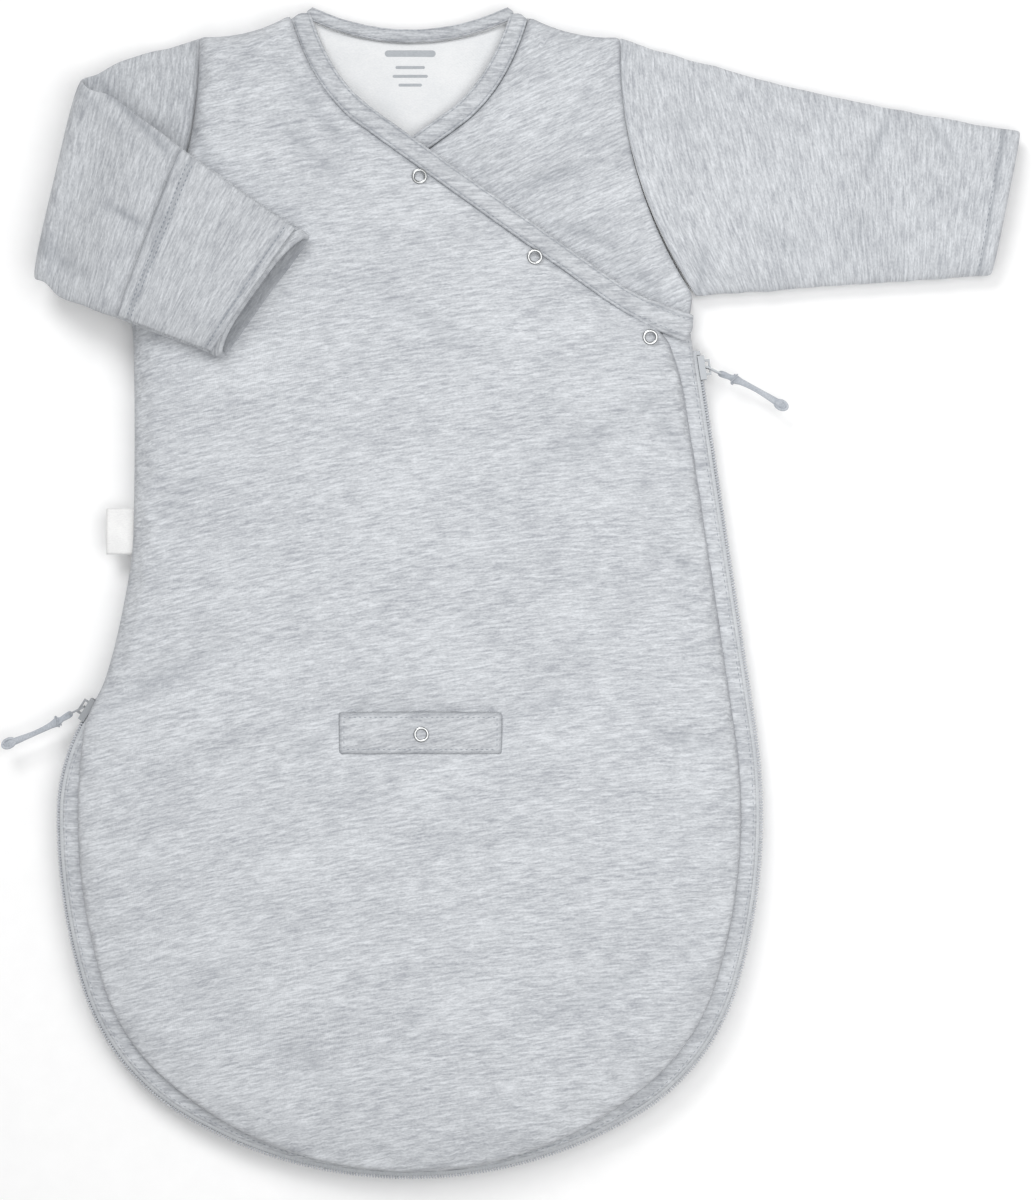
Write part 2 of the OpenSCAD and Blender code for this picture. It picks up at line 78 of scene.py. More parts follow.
METRE = 0.001
JOINTS = {j["name"]: j for j in frame["joints"]}


# ---- Reading curves off the frame ---------------------------------------------------------------

def node_points(node):
    """The corners of a CAD node, in millimetres."""
    return np.array([v.co for v in frame["nodes"][node].data.vertices]) / METRE


def node_box(node):
    """The lowest and highest corner of a CAD node's box, in millimetres."""
    return [np.array(corner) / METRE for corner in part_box(node)]


def node_levels(node):
    """The lowest and highest z of a CAD node."""
    low, high = node_box(node)
    return low[2], high[2]


def top_loops(node):
    """The outlines of a CAD node's flat top, each an (n, 2) array, longest first."""
    mesh = frame["nodes"][node].data
    corners = node_points(node)
    top = corners[:, 2].max()
    places = {}
    ids = [places.setdefault(tuple(np.round(c, 2)), len(places)) for c in corners]
    flat = np.array(list(places))
    directed = set()
    for face in mesh.polygons:
        loop = list(face.vertices)
        if all(abs(corners[v][2] - top) < 0.01 for v in loop):
            for a, b in zip(loop, loop[1:] + loop[:1]):
                directed.add((ids[a], ids[b]))
    after = {a: b for a, b in directed if (b, a) not in directed}
    loops = []
    while after:
        start, here = next(iter(after.items()))
        after.pop(start)
        chain = [start]
        while here != start:
            chain.append(here)
            here = after.pop(here)
        loops.append(flat[chain][:, :2])
    return sorted(loops, key=path_length, reverse=True)


def distances(path):
    """How far along a path each of its points is."""
    return np.concatenate([[0], np.cumsum(np.linalg.norm(np.diff(path, axis=0), axis=1))])


def path_length(path):
    return distances(path)[-1]


def places_at(want, far, path):
    """The places at some distances along a path, whose own points are at the distances far."""
    return np.stack([np.interp(want, far, path[:, k]) for k in range(path.shape[1])], -1)


def turning(loop):
    """How sharply a closed loop turns at each point, in degrees."""
    before = loop - np.roll(loop, 1, 0)
    after = np.roll(loop, -1, 0) - loop
    cross = before[:, 0] * after[:, 1] - before[:, 1] * after[:, 0]
    return np.degrees(np.abs(np.arctan2(cross, (before * after).sum(1))))


def cut_loop(loop, corners):
    """A closed loop as chains between some of its points."""
    loop = np.roll(loop, -corners[0], 0)
    cuts = list(corners - corners[0]) + [len(loop)]
    closed = np.vstack([loop, loop[:1]])
    return [closed[a:b + 1] for a, b in zip(cuts, cuts[1:])]


def split_at_corners(loop, count=4):
    """A closed loop as chains between its sharpest corners."""
    return cut_loop(loop, np.sort(np.argsort(turning(loop))[-count:]))


def band_sides(node):
    """The two long sides of a band-shaped CAD node, both running the same way."""
    chains = sorted(split_at_corners(top_loops(node)[0]), key=path_length)
    return chains[-1], chains[-2][::-1]


def spline(path, step, closed=False):
    """Points a step apart on a smooth curve through a path's points."""
    path = np.asarray(path, float)
    if closed:
        ext = np.vstack([path[-1], path, path[0], path[1]])
    else:
        ext = np.vstack([2 * path[0] - path[1], path, 2 * path[-1] - path[-2]])
    step_to = np.diff(ext, axis=0)
    size = np.maximum(np.linalg.norm(step_to, axis=1), 1e-6)[:, None]
    unit = step_to / size
    way = unit[:-1] * size[:-1] + unit[1:] * size[1:]
    way /= np.maximum(np.linalg.norm(way, axis=1), 1e-9)[:, None]
    fine = []
    for p1, p2, w1, w2, length in zip(ext[1:], ext[2:], way, way[1:], size[1:]):
        t = np.linspace(0, 1, 9)[:-1, None]
        fine.append((2 * t**3 - 3 * t**2 + 1) * p1 + (t**3 - 2 * t**2 + t) * length * w1
                    + (3 * t**2 - 2 * t**3) * p2 + (t**3 - t**2) * length * w2)
    fine = np.vstack(fine + ([path[:1]] if closed else [path[-1:]]))
    far = distances(fine)
    count = max(2, int(round(far[-1] / step)))
    out = places_at(np.linspace(0, far[-1], count + 1), far, fine)
    return out[:-1] if closed else out


def smooth_loop(loop, step, corner=24):
    """A closed loop resampled at a step, smooth except at its corners."""
    sharp = np.flatnonzero(turning(loop) > corner)
    if len(sharp) < 2:
        return spline(loop, step, closed=True)
    return np.vstack([spline(chain, step)[:-1] for chain in cut_loop(loop, sharp)])


def inside(points, loop):
    """Whether each point is inside a closed loop."""
    x, y = points[:, :1], points[:, 1:2]
    a, b = loop, np.roll(loop, -1, 0)
    crosses = (a[:, 1] > y) != (b[:, 1] > y)
    rise = np.where(a[:, 1] == b[:, 1], 1e-9, b[:, 1] - a[:, 1])
    at = a[:, 0] + (y - a[:, 1]) * (b[:, 0] - a[:, 0]) / rise
    return (crosses & (x < at)).sum(1) % 2 == 1


def nearest(points, loop, closed=True):
    """For each point: its distance to a path, how far along the path the nearest place is,
    and that place as an index into the path's own points, with a fraction."""
    a = np.asarray(loop)
    b = np.roll(a, -1, 0) if closed else a[1:]
    a = a if closed else a[:-1]
    lengths = np.linalg.norm(b - a, axis=1)
    starts = np.concatenate([[0], np.cumsum(lengths)[:-1]])
    best = np.full(len(points), 1e9)
    along = np.zeros(len(points))
    index = np.zeros(len(points))
    for i, (p, q, size, start) in enumerate(zip(a, b, lengths, starts)):
        t = np.clip(((points - p) @ (q - p)) / max(size * size, 1e-9), 0, 1)
        away = np.linalg.norm(points - (p + t[:, None] * (q - p)), axis=1)
        closer = away < best
        best[closer] = away[closer]
        along[closer] = (start + t * size)[closer]
        index[closer] = (i + t)[closer]
    return best, along, index


def near(points, path, reach):
    return nearest(points, path, closed=False)[0] < reach


def wobble(x, y, scale, seed=0.0, detail=2):
    """Smooth noise at each (x, y), from about -1 to 1."""
    return np.array([noise.fractal(Vector((a / scale, b / scale, seed)), 0.6, 2.0, detail)
                     for a, b in zip(np.ravel(x), np.ravel(y))]).reshape(np.shape(x))


def smoothstep(low, high, x):
    t = np.clip((x - low) / (high - low), 0, 1)
    return t * t * (3 - 2 * t)


def bell(distance, width):
    """1 at no distance, falling smoothly to 0 over a few widths."""
    return np.exp(-(distance / width) ** 2)


# ---- Making pieces ------------------------------------------------------------------------------

def make_piece(name, points, faces, materials, slots, grain):
    """A smooth mesh object from points in millimetres, with a grain coordinate at each."""
    mesh = bpy.data.meshes.new(name)
    mesh.from_pydata((np.asarray(points) * METRE).tolist(), [], [list(f) for f in faces])
    for material in materials:
        mesh.materials.append(material)
    mesh.polygons.foreach_set("material_index", np.asarray(slots, np.int32))
    mesh.polygons.foreach_set("use_smooth", [True] * len(mesh.polygons))
    layer = mesh.attributes.new("grain", "FLOAT_VECTOR", "POINT")
    layer.data.foreach_set("vector", np.asarray(grain, np.float32).ravel())
    obj = bpy.data.objects.new(name, mesh)
    bpy.context.scene.collection.objects.link(obj)
    return obj


def paint_shade(obj, values):
    """Paints shade into the cloth's colour, 0 to 1 at each point, as the seam attribute."""
    # The shade painted here falls along seams, in stitch grooves, at crease bottoms and inside the
    # cuff.
    layer = obj.data.attributes.new("seam", "FLOAT", "POINT")
    layer.data.foreach_set("value", np.asarray(values, np.float32))


def apply_modifiers(obj):
    """Bakes an object's modifiers into its mesh."""
    bpy.context.view_layer.update()
    graph = bpy.context.evaluated_depsgraph_get()
    mesh = bpy.data.meshes.new_from_object(obj.evaluated_get(graph), depsgraph=graph)
    obj.modifiers.clear()
    obj.data = mesh


def subdivide(obj):
    modifier = obj.modifiers.new("smooth", "SUBSURF")
    modifier.levels = modifier.render_levels = 1
    apply_modifiers(obj)


def edit_mesh(obj, change):
    """Makes one bmesh change to an object's mesh."""
    mesh = bmesh.new()
    mesh.from_mesh(obj.data)
    change(mesh)
    mesh.to_mesh(obj.data)
    mesh.free()


def drop_loose(obj):
    """Deletes points that no face uses."""
    edit_mesh(obj, lambda mesh: bmesh.ops.delete(
        mesh, geom=[v for v in mesh.verts if not v.link_faces], context="VERTS"))


def recalculate_normals(obj):
    edit_mesh(obj, lambda mesh: bmesh.ops.recalc_face_normals(mesh, faces=mesh.faces))


class Piece:
    """Gathers points and faces of several parts before they become one mesh."""

    def __init__(self):
        self.points, self.faces, self.slots, self.grain = [], [], [], []

    def add(self, points, faces, grain=None):
        base = len(self.points)
        self.points += [tuple(p) for p in points]
        self.faces += [[base + i for i in f] for f in faces]
        self.grain += [tuple(g) for g in (points if grain is None else grain)]

    def build(self, name, material):
        slots = [0] * len(self.faces)
        return make_piece(name, self.points, self.faces, [material], slots, self.grain)


def tube_faces(rings, around, joined=False):
    """Quads between rings of points. With joined, the last ring also meets the first."""
    faces = []
    for i in range(rings if joined else rings - 1):
        here, after = i * around, (i + 1) % rings * around
        for j in range(around):
            k = (j + 1) % around
            faces.append((here + j, here + k, after + k, after + j))
    return faces


def capped_tube(rings, around):
    """Quads between rings of points, with a face over each end."""
    last = [(rings - 1) * around + j for j in range(around)]
    return tube_faces(rings, around) + [list(range(around))[::-1], last]


def sheet_faces(rows, cols):
    """The faces of a thin sheet whose points are a top grid and then a bottom grid."""
    count = rows * cols
    faces = []
    for i in range(rows - 1):
        for a in range(i * cols, (i + 1) * cols - 1):
            quad = (a, a + 1, a + cols + 1, a + cols)
            faces += [quad, tuple(count + k for k in quad[::-1])]
    border = ([j for j in range(cols)] + [i * cols + cols - 1 for i in range(1, rows)]
              + [(rows - 1) * cols + j for j in range(cols - 2, -1, -1)]
              + [i * cols for i in range(rows - 2, 0, -1)])
    return faces + [(b, a, count + a, count + b) for a, b in zip(border, border[1:] + border[:1])]


def section(around, power):
    """A round to squarish outline from -1 to 1, as the arrays across and rise."""
    angle = np.linspace(0, 2 * math.pi, around, endpoint=False)
    return [np.sign(wave) * np.abs(wave) ** (2 / power) for wave in (np.cos(angle), np.sin(angle))]


def tangents(path):
    step = np.gradient(path, axis=0)
    return step / np.maximum(np.linalg.norm(step, axis=1), 1e-9)[:, None]


STITCH_LINE = 0.72  # where a binding's stitches run, as a share of its half width


def sweep(path, width, height, around, power=2.6, up=None, tip=2.0, groove=0.0):
    """A band of rounded section along a 3-D path, closed and rounded at both ends."""
    along = tangents(path)
    up = np.tile([0.0, 0.0, 1.0], (len(path), 1)) if up is None else up
    side = np.cross(along, up)
    side /= np.linalg.norm(side, axis=1)[:, None]
    top = np.cross(side, along)
    across, rise = section(around, power)
    rise = rise - groove * (rise > 0) * bell(np.abs(across) - STITCH_LINE, 0.09)
    far = distances(path)
    ends = np.minimum(far, far[-1] - far)
    taper = np.sqrt(np.clip(1 - (1 - np.clip(ends / tip, 0, 1)) ** 2, 0.03, 1))
    width = np.broadcast_to(width, len(path))
    height = np.broadcast_to(height, len(path))
    points = (path[:, None, :]
              + (side * (width * taper / 2)[:, None])[:, None, :] * across[None, :, None]
              + (top * (height * taper / 2)[:, None])[:, None, :] * rise[None, :, None])
    return points.reshape(-1, 3), [f[::-1] for f in capped_tube(len(path), around)]


def ring_band(loop, z, width, height, around=12):
    """A closed rounded band along a closed flat loop."""
    along = np.roll(loop, -1, 0) - np.roll(loop, 1, 0)
    along /= np.linalg.norm(along, axis=1)[:, None]
    out = np.column_stack([along[:, 1], -along[:, 0], np.zeros(len(loop))])
    across, rise = section(around, 2.5)
    points = (with_height(loop, z)[:, None, :]
              + out[:, None, :] * (across * width / 2)[None, :, None]
              + np.array([0, 0, 1.0]) * (rise * height / 2)[None, :, None])
    return points.reshape(-1, 3), [f[::-1] for f in tube_faces(len(loop), around, joined=True)]


def grain_along(path, around, turn):
    """Grain coordinates for a band: round it, then along its path."""
    return [(turn * j, s, 0) for s in distances(path) for j in range(around)]


def with_height(path, z):
    """A flat path at one height, or at a height for each point."""
    return np.column_stack([path, np.broadcast_to(z, len(path))])


def offset_path(path, distance):
    """A flat path moved to its left."""
    t = tangents(path)
    return path + distance * np.stack([-t[:, 1], t[:, 0]], 1)


RAY_START = 200  # how far above or below the object a ray starts


def surface(obj, side=1):
    """A function for the height of an object's top at (x, y), or of its underside with
    side=-1."""
    tree = BVHTree.FromPolygons([v.co / METRE for v in obj.data.vertices],
                                [list(p.vertices) for p in obj.data.polygons])

    def height(x, y, default=0.0):
        hit = tree.ray_cast(Vector((x, y, side * RAY_START)), Vector((0, 0, -side)))
        return hit[0].z if hit[0] else default
    return height


def lay_on(height, path, lift=0.02, default=0.0):
    """A flat path lifted onto a surface."""
    return with_height(path, np.array([height(x, y, default) for x, y in path]) + lift)


# ---- Materials ----------------------------------------------------------------------------------

def srgb(red, green, blue, shade=1.0):
    """A colour given as on a screen, 0 to 255, made linear and then multiplied by a shade."""
    return tuple(shade * (((c / 255 + 0.055) / 1.055) ** 2.4 if c > 10 else c / 3294.6)
                 for c in (red, green, blue)) + (1.0,)


class Nodes:
    """Short calls for building a material's node tree."""

    def __init__(self, name):
        self.material = bpy.data.materials.new(name)
        self.material.use_nodes = True
        self.tree = self.material.node_tree
        self.shader = self.tree.nodes["Principled BSDF"]

    def new(self, kind, **settings):
        node = self.tree.nodes.new(kind)
        for key, value in settings.items():
            setattr(node, key, value)
        return node

    def feed(self, inputs, **values):
        """Links or sets some of a node's inputs. An underscore stands for a space."""
        for key, value in values.items():
            self.put(inputs[key.replace("_", " ")], value)

    def put(self, socket, value):
        """Links a socket to another node's output, or gives it a plain value."""
        if hasattr(value, "links"):
            self.tree.links.new(value, socket)
        else:
            socket.default_value = value

    def grain(self, scale):
        """The piece's grain coordinates in millimetres, scaled."""
        source = self.new("ShaderNodeAttribute", attribute_name="grain")
        mapping = self.new("ShaderNodeMapping")
        self.feed(mapping.inputs, Scale=scale, Vector=source.outputs["Vector"])
        return mapping.outputs["Vector"]

    def noise(self, vector, detail=2.0, roughness=0.5, distortion=0.0, scale=1.0):
        node = self.new("ShaderNodeTexNoise")
        self.feed(node.inputs, Scale=scale, Detail=detail, Roughness=roughness,
                  Distortion=distortion, Vector=vector)
        return node.outputs["Fac"]

    def waves(self, direction, scale, distortion):
        """Fine parallel ridges in the piece's grain."""
        node = self.new("ShaderNodeTexWave", wave_type="BANDS", bands_direction=direction)
        self.feed(node.inputs, Scale=scale, Distortion=distortion, Vector=self.grain((1, 1, 1)))
        return node.outputs["Fac"]

    def ramp(self, factor, *stops):
        node = self.new("ShaderNodeValToRGB")
        elements = node.color_ramp.elements
        while len(elements) < len(stops):
            elements.new(0.5)
        for element, (position, colour) in zip(elements, stops):
            element.position = position
            element.color = colour
        self.feed(node.inputs, Fac=factor)
        return node.outputs["Color"]

    def maths(self, operation, a, b):
        node = self.new("ShaderNodeMath", operation=operation)
        for socket, value in zip(node.inputs, (a, b)):
            self.put(socket, value)
        return node.outputs[0]

    def times(self, source, share):
        return self.maths("MULTIPLY", source, share)

    def plus(self, base, source, share):
        """base + source * share"""
        return self.maths("ADD", base, self.times(source, share))

    def mix(self, factor, a, b):
        node = self.new("ShaderNodeMix", data_type="RGBA")
        for index, value in ((0, factor), (6, a), (7, b)):
            self.put(node.inputs[index], value)
        return node.outputs[2]

    def bump(self, height, strength, distance_mm):
        node = self.new("ShaderNodeBump")
        self.feed(node.inputs, Strength=strength, Distance=distance_mm * METRE, Height=height)
        self.feed(self.shader.inputs, Normal=node.outputs["Normal"])

    def finish(self, **values):
        self.feed(self.shader.inputs, **values)
        return self.material


def melange(name, shade=1.0):
    """Grey melange jersey: pale yarn with darker fibres running along the grain's x."""
    n = Nodes(name)
    streaks = n.noise(n.grain((1 / 8.6, 1 / 1.2, 0.25)), 2.5, 0.58, 0.4)
    flecks = n.noise(n.grain((1 / 1.5, 1 / 0.75, 0.25)), 2.0, 0.5, 0.3)
    clouds = n.noise(n.grain((1 / 46, 1 / 15, 0.05)), 3.0, 0.55)
    level = n.plus(n.plus(n.times(streaks, 0.54), flecks, 0.27), clouds, 0.19)
    colour = n.ramp(level, (0.36, srgb(163, 166, 172, shade)), (0.5, srgb(192, 195, 199, shade)),
                    (0.63, srgb(215, 218, 222, shade)))
    # Painted shade: where the seam attribute is set, the yarn colour is mixed towards a dark grey.
    seam = n.new("ShaderNodeAttribute", attribute_name="seam").outputs["Fac"]
    colour = n.mix(n.times(seam, 0.6), colour, srgb(118, 123, 131, shade))
    stitch = n.waves("X", 0.32, 1.2)
    n.bump(n.plus(n.times(stitch, 0.35), flecks, 0.9), 0.2, 0.25)
    return n.finish(Base_Color=colour, Roughness=n.plus(0.78, streaks, 0.2), Sheen_Weight=0.18,
                    Sheen_Roughness=0.5, Specular_IOR_Level=0.15)


def plain_cloth(name, light, dark, weave_mm):
    """A plain woven or knitted cloth with a fine weave and faint clouding."""
    n = Nodes(name)
    weave = n.waves("DIAGONAL", 0.31 / weave_mm, 0.8)
    clouds = n.noise(n.grain((1 / 18, 1 / 18, 1)), 3.0)
    fibre = n.noise(n.grain((1 / 1.2, 1 / 0.5, 1)))
    level = n.plus(n.times(clouds, 0.5), fibre, 0.5)
    colour = n.ramp(level, (0.35, srgb(*dark)), (0.62, srgb(*light)))
    n.bump(n.maths("ADD", n.times(weave, 0.5), fibre), 0.25, 0.2)
    return n.finish(Base_Color=colour, Roughness=n.plus(0.8, fibre, 0.15), Sheen_Weight=0.15,
                    Specular_IOR_Level=0.15)


def metal(name, dark, light, polish):
    """Nickel plate with fine polishing marks."""
    n = Nodes(name)
    marks = n.noise(n.grain((3.0, 0.6, 1.0)), 3.0)
    colour = n.ramp(marks, (0.3, srgb(*dark)), (0.7, srgb(*light)))
    rough = n.plus(polish, marks, 0.16)
    n.bump(marks, 0.08, 0.05)
    return n.finish(Base_Color=colour, Metallic=1.0, Roughness=rough)


def nylon(name):
    """The zip's nylon coil, slightly glossy."""
    n = Nodes(name)
    tone = n.noise(n.grain((0.6, 0.6, 0.6)))
    colour = n.ramp(tone, (0.3, srgb(176, 180, 186)), (0.7, srgb(206, 209, 214)))
    rough = n.plus(0.36, tone, 0.15)
    n.bump(tone, 0.1, 0.05)
    return n.finish(Base_Color=colour, Roughness=rough)


JERSEY = melange("melange_jersey")
TRIM = melange("melange_trim", 0.93)
# A copy of the jersey at 0.9 of its tone: painted shade on the left sleeve and the mitts.
SHADED_SLEEVE_JERSEY = melange("melange_sleeve_shaded", 0.9)
LINING = plain_cloth("cotton_lining", (229, 230, 231), (218, 220, 222), 0.8)
TAPE = plain_cloth("zip_tape", (216, 219, 222), (196, 200, 205), 0.6)
RIBBON = plain_cloth("pull_ribbon", (190, 194, 200), (150, 156, 164), 0.7)
LABEL = plain_cloth("woven_label", (238, 238, 237), (226, 226, 226), 0.4)
THREAD = plain_cloth("sewing_thread", (160, 166, 174), (128, 134, 143), 0.3)
PRINT = plain_cloth("neck_print", (178, 182, 186), (164, 168, 173), 0.5)
NICKEL = metal("nickel_plate", (150, 152, 153), (192, 193, 193), 0.12)
SLIDER_METAL = metal("slider_nickel", (138, 141, 145), (166, 169, 172), 0.4)
COIL = nylon("nylon_coil")


# ---- Heights and lines shared by the pieces -----------------------------------------------------

BACK_TOP = node_levels("back_lining")[1]
FRONT_LOW = node_levels("front_lining")[0]
FRONT_TOP = node_levels("front_shell")[1]
UNDER_LOW = node_levels("under_front_lining")[0]
UNDER_TOP = node_levels("under_front_shell")[1]
SLEEVE_LOW, SLEEVE_TOP = node_levels("right_upper_sleeve_shell")
SLEEVE_MID = (SLEEVE_LOW + SLEEVE_TOP) / 2
SLEEVE_HALF = (SLEEVE_TOP - SLEEVE_LOW) / 2
STRIP_Z = node_levels("front_strip")[1]
SEAM_Z = 12.5  # the side seam's height
ZIP_REACH = 17.5  # how near the zip's outer line a panel's seam takes the zip's height

FOLD = "across the fold"  # stands for a body in the pieces that bend at the front's fold
FOLD_X = JOINTS["front_opening"]["pos_m"][0] / METRE


def place(obj, body, slot, *nodes):
    """Puts a piece on a body, where it stands for some CAD nodes. slot is not used."""
    if body == FOLD:
        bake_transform(obj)
    else:
        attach(obj, body)
    if nodes:
        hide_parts(*nodes)


def layers(*parts):
    """The CAD nodes of some padded parts."""
    return [f"{part}_{layer}" for part in parts for layer in ("shell", "padding", "lining")]


def join_at_fold(side_node, flap_node):
    """One outline from the fixed and the opening part of the front, without the fold cut."""
    halves = []
    for node in (side_node, flap_node):
        loop = top_loops(node)[0]
        at_cut = np.abs(loop[:, 0] - FOLD_X) < 1
        start = np.flatnonzero(at_cut & ~np.roll(at_cut, -1))[0] + 1
        loop = np.roll(loop, -start, 0)
        halves.append(loop[np.abs(loop[:, 0] - FOLD_X) >= 1])
    return np.vstack(halves)


def wrap_sides():
    """The panel side and the neck side of the wrap binding, from the neck down."""
    outline = join_at_fold("wrap_binding_side", "wrap_binding")
    chains = sorted(split_at_corners(outline), key=path_length)[-2:]
    paths = [c if c[0, 0] < c[-1, 0] else c[::-1] for c in chains]
    return sorted(paths, key=lambda p: p[:, 1].mean())


ZIP_OUTER, ZIP_INNER = [spline(side, 2.0) for side in band_sides("zip_coil_back")]
WRAP_LOW, WRAP_HIGH = [spline(side, 2.0) for side in wrap_sides()]
UNDER_EDGE_SIDES = [spline(side, 2.0) for side in band_sides("under_front_binding")]
ARMHOLE = [c for c in split_at_corners(top_loops("right_upper_sleeve_shell")[0])
           if abs(c[:, 0].mean() - node_points("right_upper_sleeve_shell")[:, 0].min()) < 20][0]
LEFT_ARMHOLE = ARMHOLE * [-1, 1]


# ---- Stitches -----------------------------------------------------------------------------------

def stitch_row(piece, path, pitch, length, thread):
    """A row of stitches sunk into a seam along a 3-D path."""
    far = distances(path)
    for start in np.arange(0.5, far[-1] - length, pitch):
        row = places_at(start + np.linspace(0, 1, 4) * length, far, path)
        row[[0, -1], 2] -= thread * 0.45
        piece.add(*sweep(row, thread, thread * 0.8, around=6, power=2, tip=0.3))


def sew(name, rows, body, pitch=2.9, length=2.1, thread=0.34):
    """One piece of thread that holds rows of stitches."""
    sewn = Piece()
    for row in rows:
        stitch_row(sewn, row, pitch, length, thread)
    place(sewn.build(name, THREAD), body, "jersey_trim")


# ---- Padded sheets ------------------------------------------------------------------------------

RINGS = (0.8, 2.2, 4.4, 7.4, 10.8)  # distances inside a seam where a panel has rings of points
HOLE_RADIUS = 3.5  # how far from a hole its edge stays rounded


def inward(loop, distance):
    """A loop moved inward, without the points that would cross over."""
    along = np.roll(loop, -1, 0) - np.roll(loop, 1, 0)
    along /= np.linalg.norm(along, axis=1)[:, None]
    moved = loop + distance * np.stack([-along[:, 1], along[:, 0]], 1)
    keep = (nearest(moved, loop)[0] > distance * 0.93) & inside(moved, loop)
    return moved[keep]


def fill(loop, spacing, holes=()):
    """Points and triangles that fill a loop, finer near its edge. The loop comes first."""
    low, high = loop.min(0), loop.max(0)
    rings = [inward(loop, d) for d in RINGS]
    rows = []
    for r, y in enumerate(np.arange(low[1], high[1], spacing * 0.866)):
        x = np.arange(low[0] + (r % 2) * spacing / 2, high[0], spacing)
        rows.append(np.column_stack([x, np.full(len(x), y)]))
    grid = np.vstack(rows)
    grid = grid[inside(grid, loop)]
    grid = grid[nearest(grid, loop)[0] > RINGS[-1] + spacing * 0.5]
    inner = np.vstack(rings + [grid])
    for hole in holes:
        inner = inner[~inside(inner, hole) & (nearest(inner, hole)[0] > 1.5)]
    edges, start = [], 0
    for ring in (loop, *holes):
        count = len(ring)
        edges += [(start + i, start + (i + 1) % count) for i in range(count)]
        start += count
    points = np.vstack([loop, *holes, inner])
    out, _, faces, _, _, _ = delaunay_2d_cdt([Vector(p) for p in points], edges, [], 0, 1e-5)
    flat = np.array([tuple(p) for p in out])
    centres = np.array([flat[list(f)].mean(0) for f in faces])
    keep = inside(centres, loop)
    for hole in holes:
        keep &= ~inside(centres, hole)
    return flat, [list(f) for f, k in zip(faces, keep) if k]


def rounded(distance, radius):
    """The rise of a stuffed edge: 0 at the seam, 1 from a radius inward."""
    return np.sqrt(1 - (1 - np.clip(distance / radius, 0, 1)) ** 2)


def seam_heights(base, width, *changes):
    """A seam's height at each point of a loop. changes lists (which points, height), and
    width is how many points the heights are averaged over."""
    heights = np.full(len(changes[0][0]), float(base))
    for which, z in changes:
        heights[which] = z
    kernel = np.hanning(width + 2)[1:-1]
    wrapped = np.concatenate([heights[-width:], heights, heights[:width]])
    return np.convolve(wrapped, kernel / kernel.sum(), "same")[width:-width]


def padded(name, loop, edge_z, low, high, materials, bulge, grain_turn, radius=(7, 12), holes=(),
           spacing=6.0, grain_bow=0.0, shaded=()):
    """A stuffed panel: a top and a bottom sheet that meet along a seam.

    edge_z gives the seam's height at each point of the loop. bulge adds to the top. radius
    is how far the bottom's and the top's edges stay rounded. shaded lists the creases whose
    bottoms are darker.
    """
    flat, triangles = fill(loop, spacing, holes)
    away, _, index = nearest(flat, loop)
    rim = away < 0.01
    whole = index.astype(int) % len(loop)
    part = index - index.astype(int)
    seam = edge_z[whole] * (1 - part) + edge_z[(whole + 1) % len(loop)] * part
    hole_rim = np.zeros(len(flat), bool)
    for hole in holes:
        from_hole = nearest(flat, hole)[0]
        away = np.minimum(away, radius[1] / HOLE_RADIUS * from_hole)
        hole_rim |= from_hole < 0.01
    top = seam + (high - seam) * rounded(away, radius[1])
    bottom = seam + (low - seam) * rounded(away, radius[0])
    top += bulge(flat[:, 0], flat[:, 1]) * rounded(away, radius[1] * 1.5)
    top[hole_rim] = high - 0.8
    bottom[hole_rim] = low + 0.8
    points = np.vstack([with_height(flat, top), with_height(flat, bottom)])
    count = len(flat)
    lower = {i: (i if rim[i] else count + i) for i in range(count)}
    faces = list(triangles) + [[lower[i] for i in f[::-1]] for f in triangles]
    slots = [0] * len(triangles) + [1] * len(triangles)
    directed = {(f[i], f[(i + 1) % 3]) for f in triangles for i in range(3)}
    for a, b in directed:
        if (b, a) not in directed and hole_rim[a] and hole_rim[b]:
            faces.append([b, a, count + a, count + b])
            slots.append(0)
    c, s = math.cos(math.radians(grain_turn)), math.sin(math.radians(grain_turn))
    bow = grain_bow * points[:, 0] ** 2
    grain = np.column_stack([points[:, 0] * c + points[:, 1] * s,
                             points[:, 1] * c - points[:, 0] * s + bow, points[:, 2]])
    obj = make_piece(name, points, faces, materials, slots, grain)
    # Painted shade: a dark band along the seam on both sheets, and at crease bottoms on the top.
    dark = 0.6 * bell(away, 1.3)
    lines = crease_shade(flat[:, 0], flat[:, 1], shaded)
    paint_shade(obj, np.concatenate([dark + lines, dark]))
    drop_loose(obj)
    return obj


def plump(obj, edge_loop, pressure, cap, frames=16):
    """Swells a panel with a cloth simulation. Its seam is pinned and its moves are capped."""
    start = np.array([v.co for v in obj.data.vertices])
    away = nearest(start[:, :2] / METRE, edge_loop)[0]
    group = obj.vertex_groups.new(name="seam")
    for i in np.flatnonzero(away < 1.0):
        group.add([int(i)], 1.0, "REPLACE")
    cloth = obj.modifiers.new("cloth", "CLOTH")
    settings = cloth.settings
    settings.quality = 6
    settings.mass = 0.25
    settings.tension_stiffness = settings.compression_stiffness = 18
    settings.shear_stiffness = 8
    settings.bending_stiffness = 0.6
    settings.use_pressure = True
    settings.uniform_pressure_force = pressure
    settings.shrink_min = -0.012
    settings.vertex_group_mass = "seam"
    settings.effector_weights.gravity = 0
    cloth.collision_settings.use_collision = False
    cloth.point_cache.frame_start = 1
    cloth.point_cache.frame_end = frames
    for step in range(1, frames + 1):
        bpy.context.scene.frame_set(step)
    apply_modifiers(obj)
    bpy.context.scene.frame_set(1)
    moved = np.array([v.co for v in obj.data.vertices]) - start
    size = np.linalg.norm(moved, axis=1)
    limit = cap * METRE
    moved *= (limit * np.tanh(size / limit) / np.maximum(size, 1e-9))[:, None]
    obj.data.vertices.foreach_set("co", (start + moved).ravel())
    obj.vertex_groups.clear()


def finish_panel(obj, body, nodes):
    """Smooths and places a panel, and returns its height function."""
    subdivide(obj)
    height = surface(obj)
    place(obj, body, "melange_jersey", *nodes)
    return height


# ---- Creases and puckers ------------------------------------------------------------------------

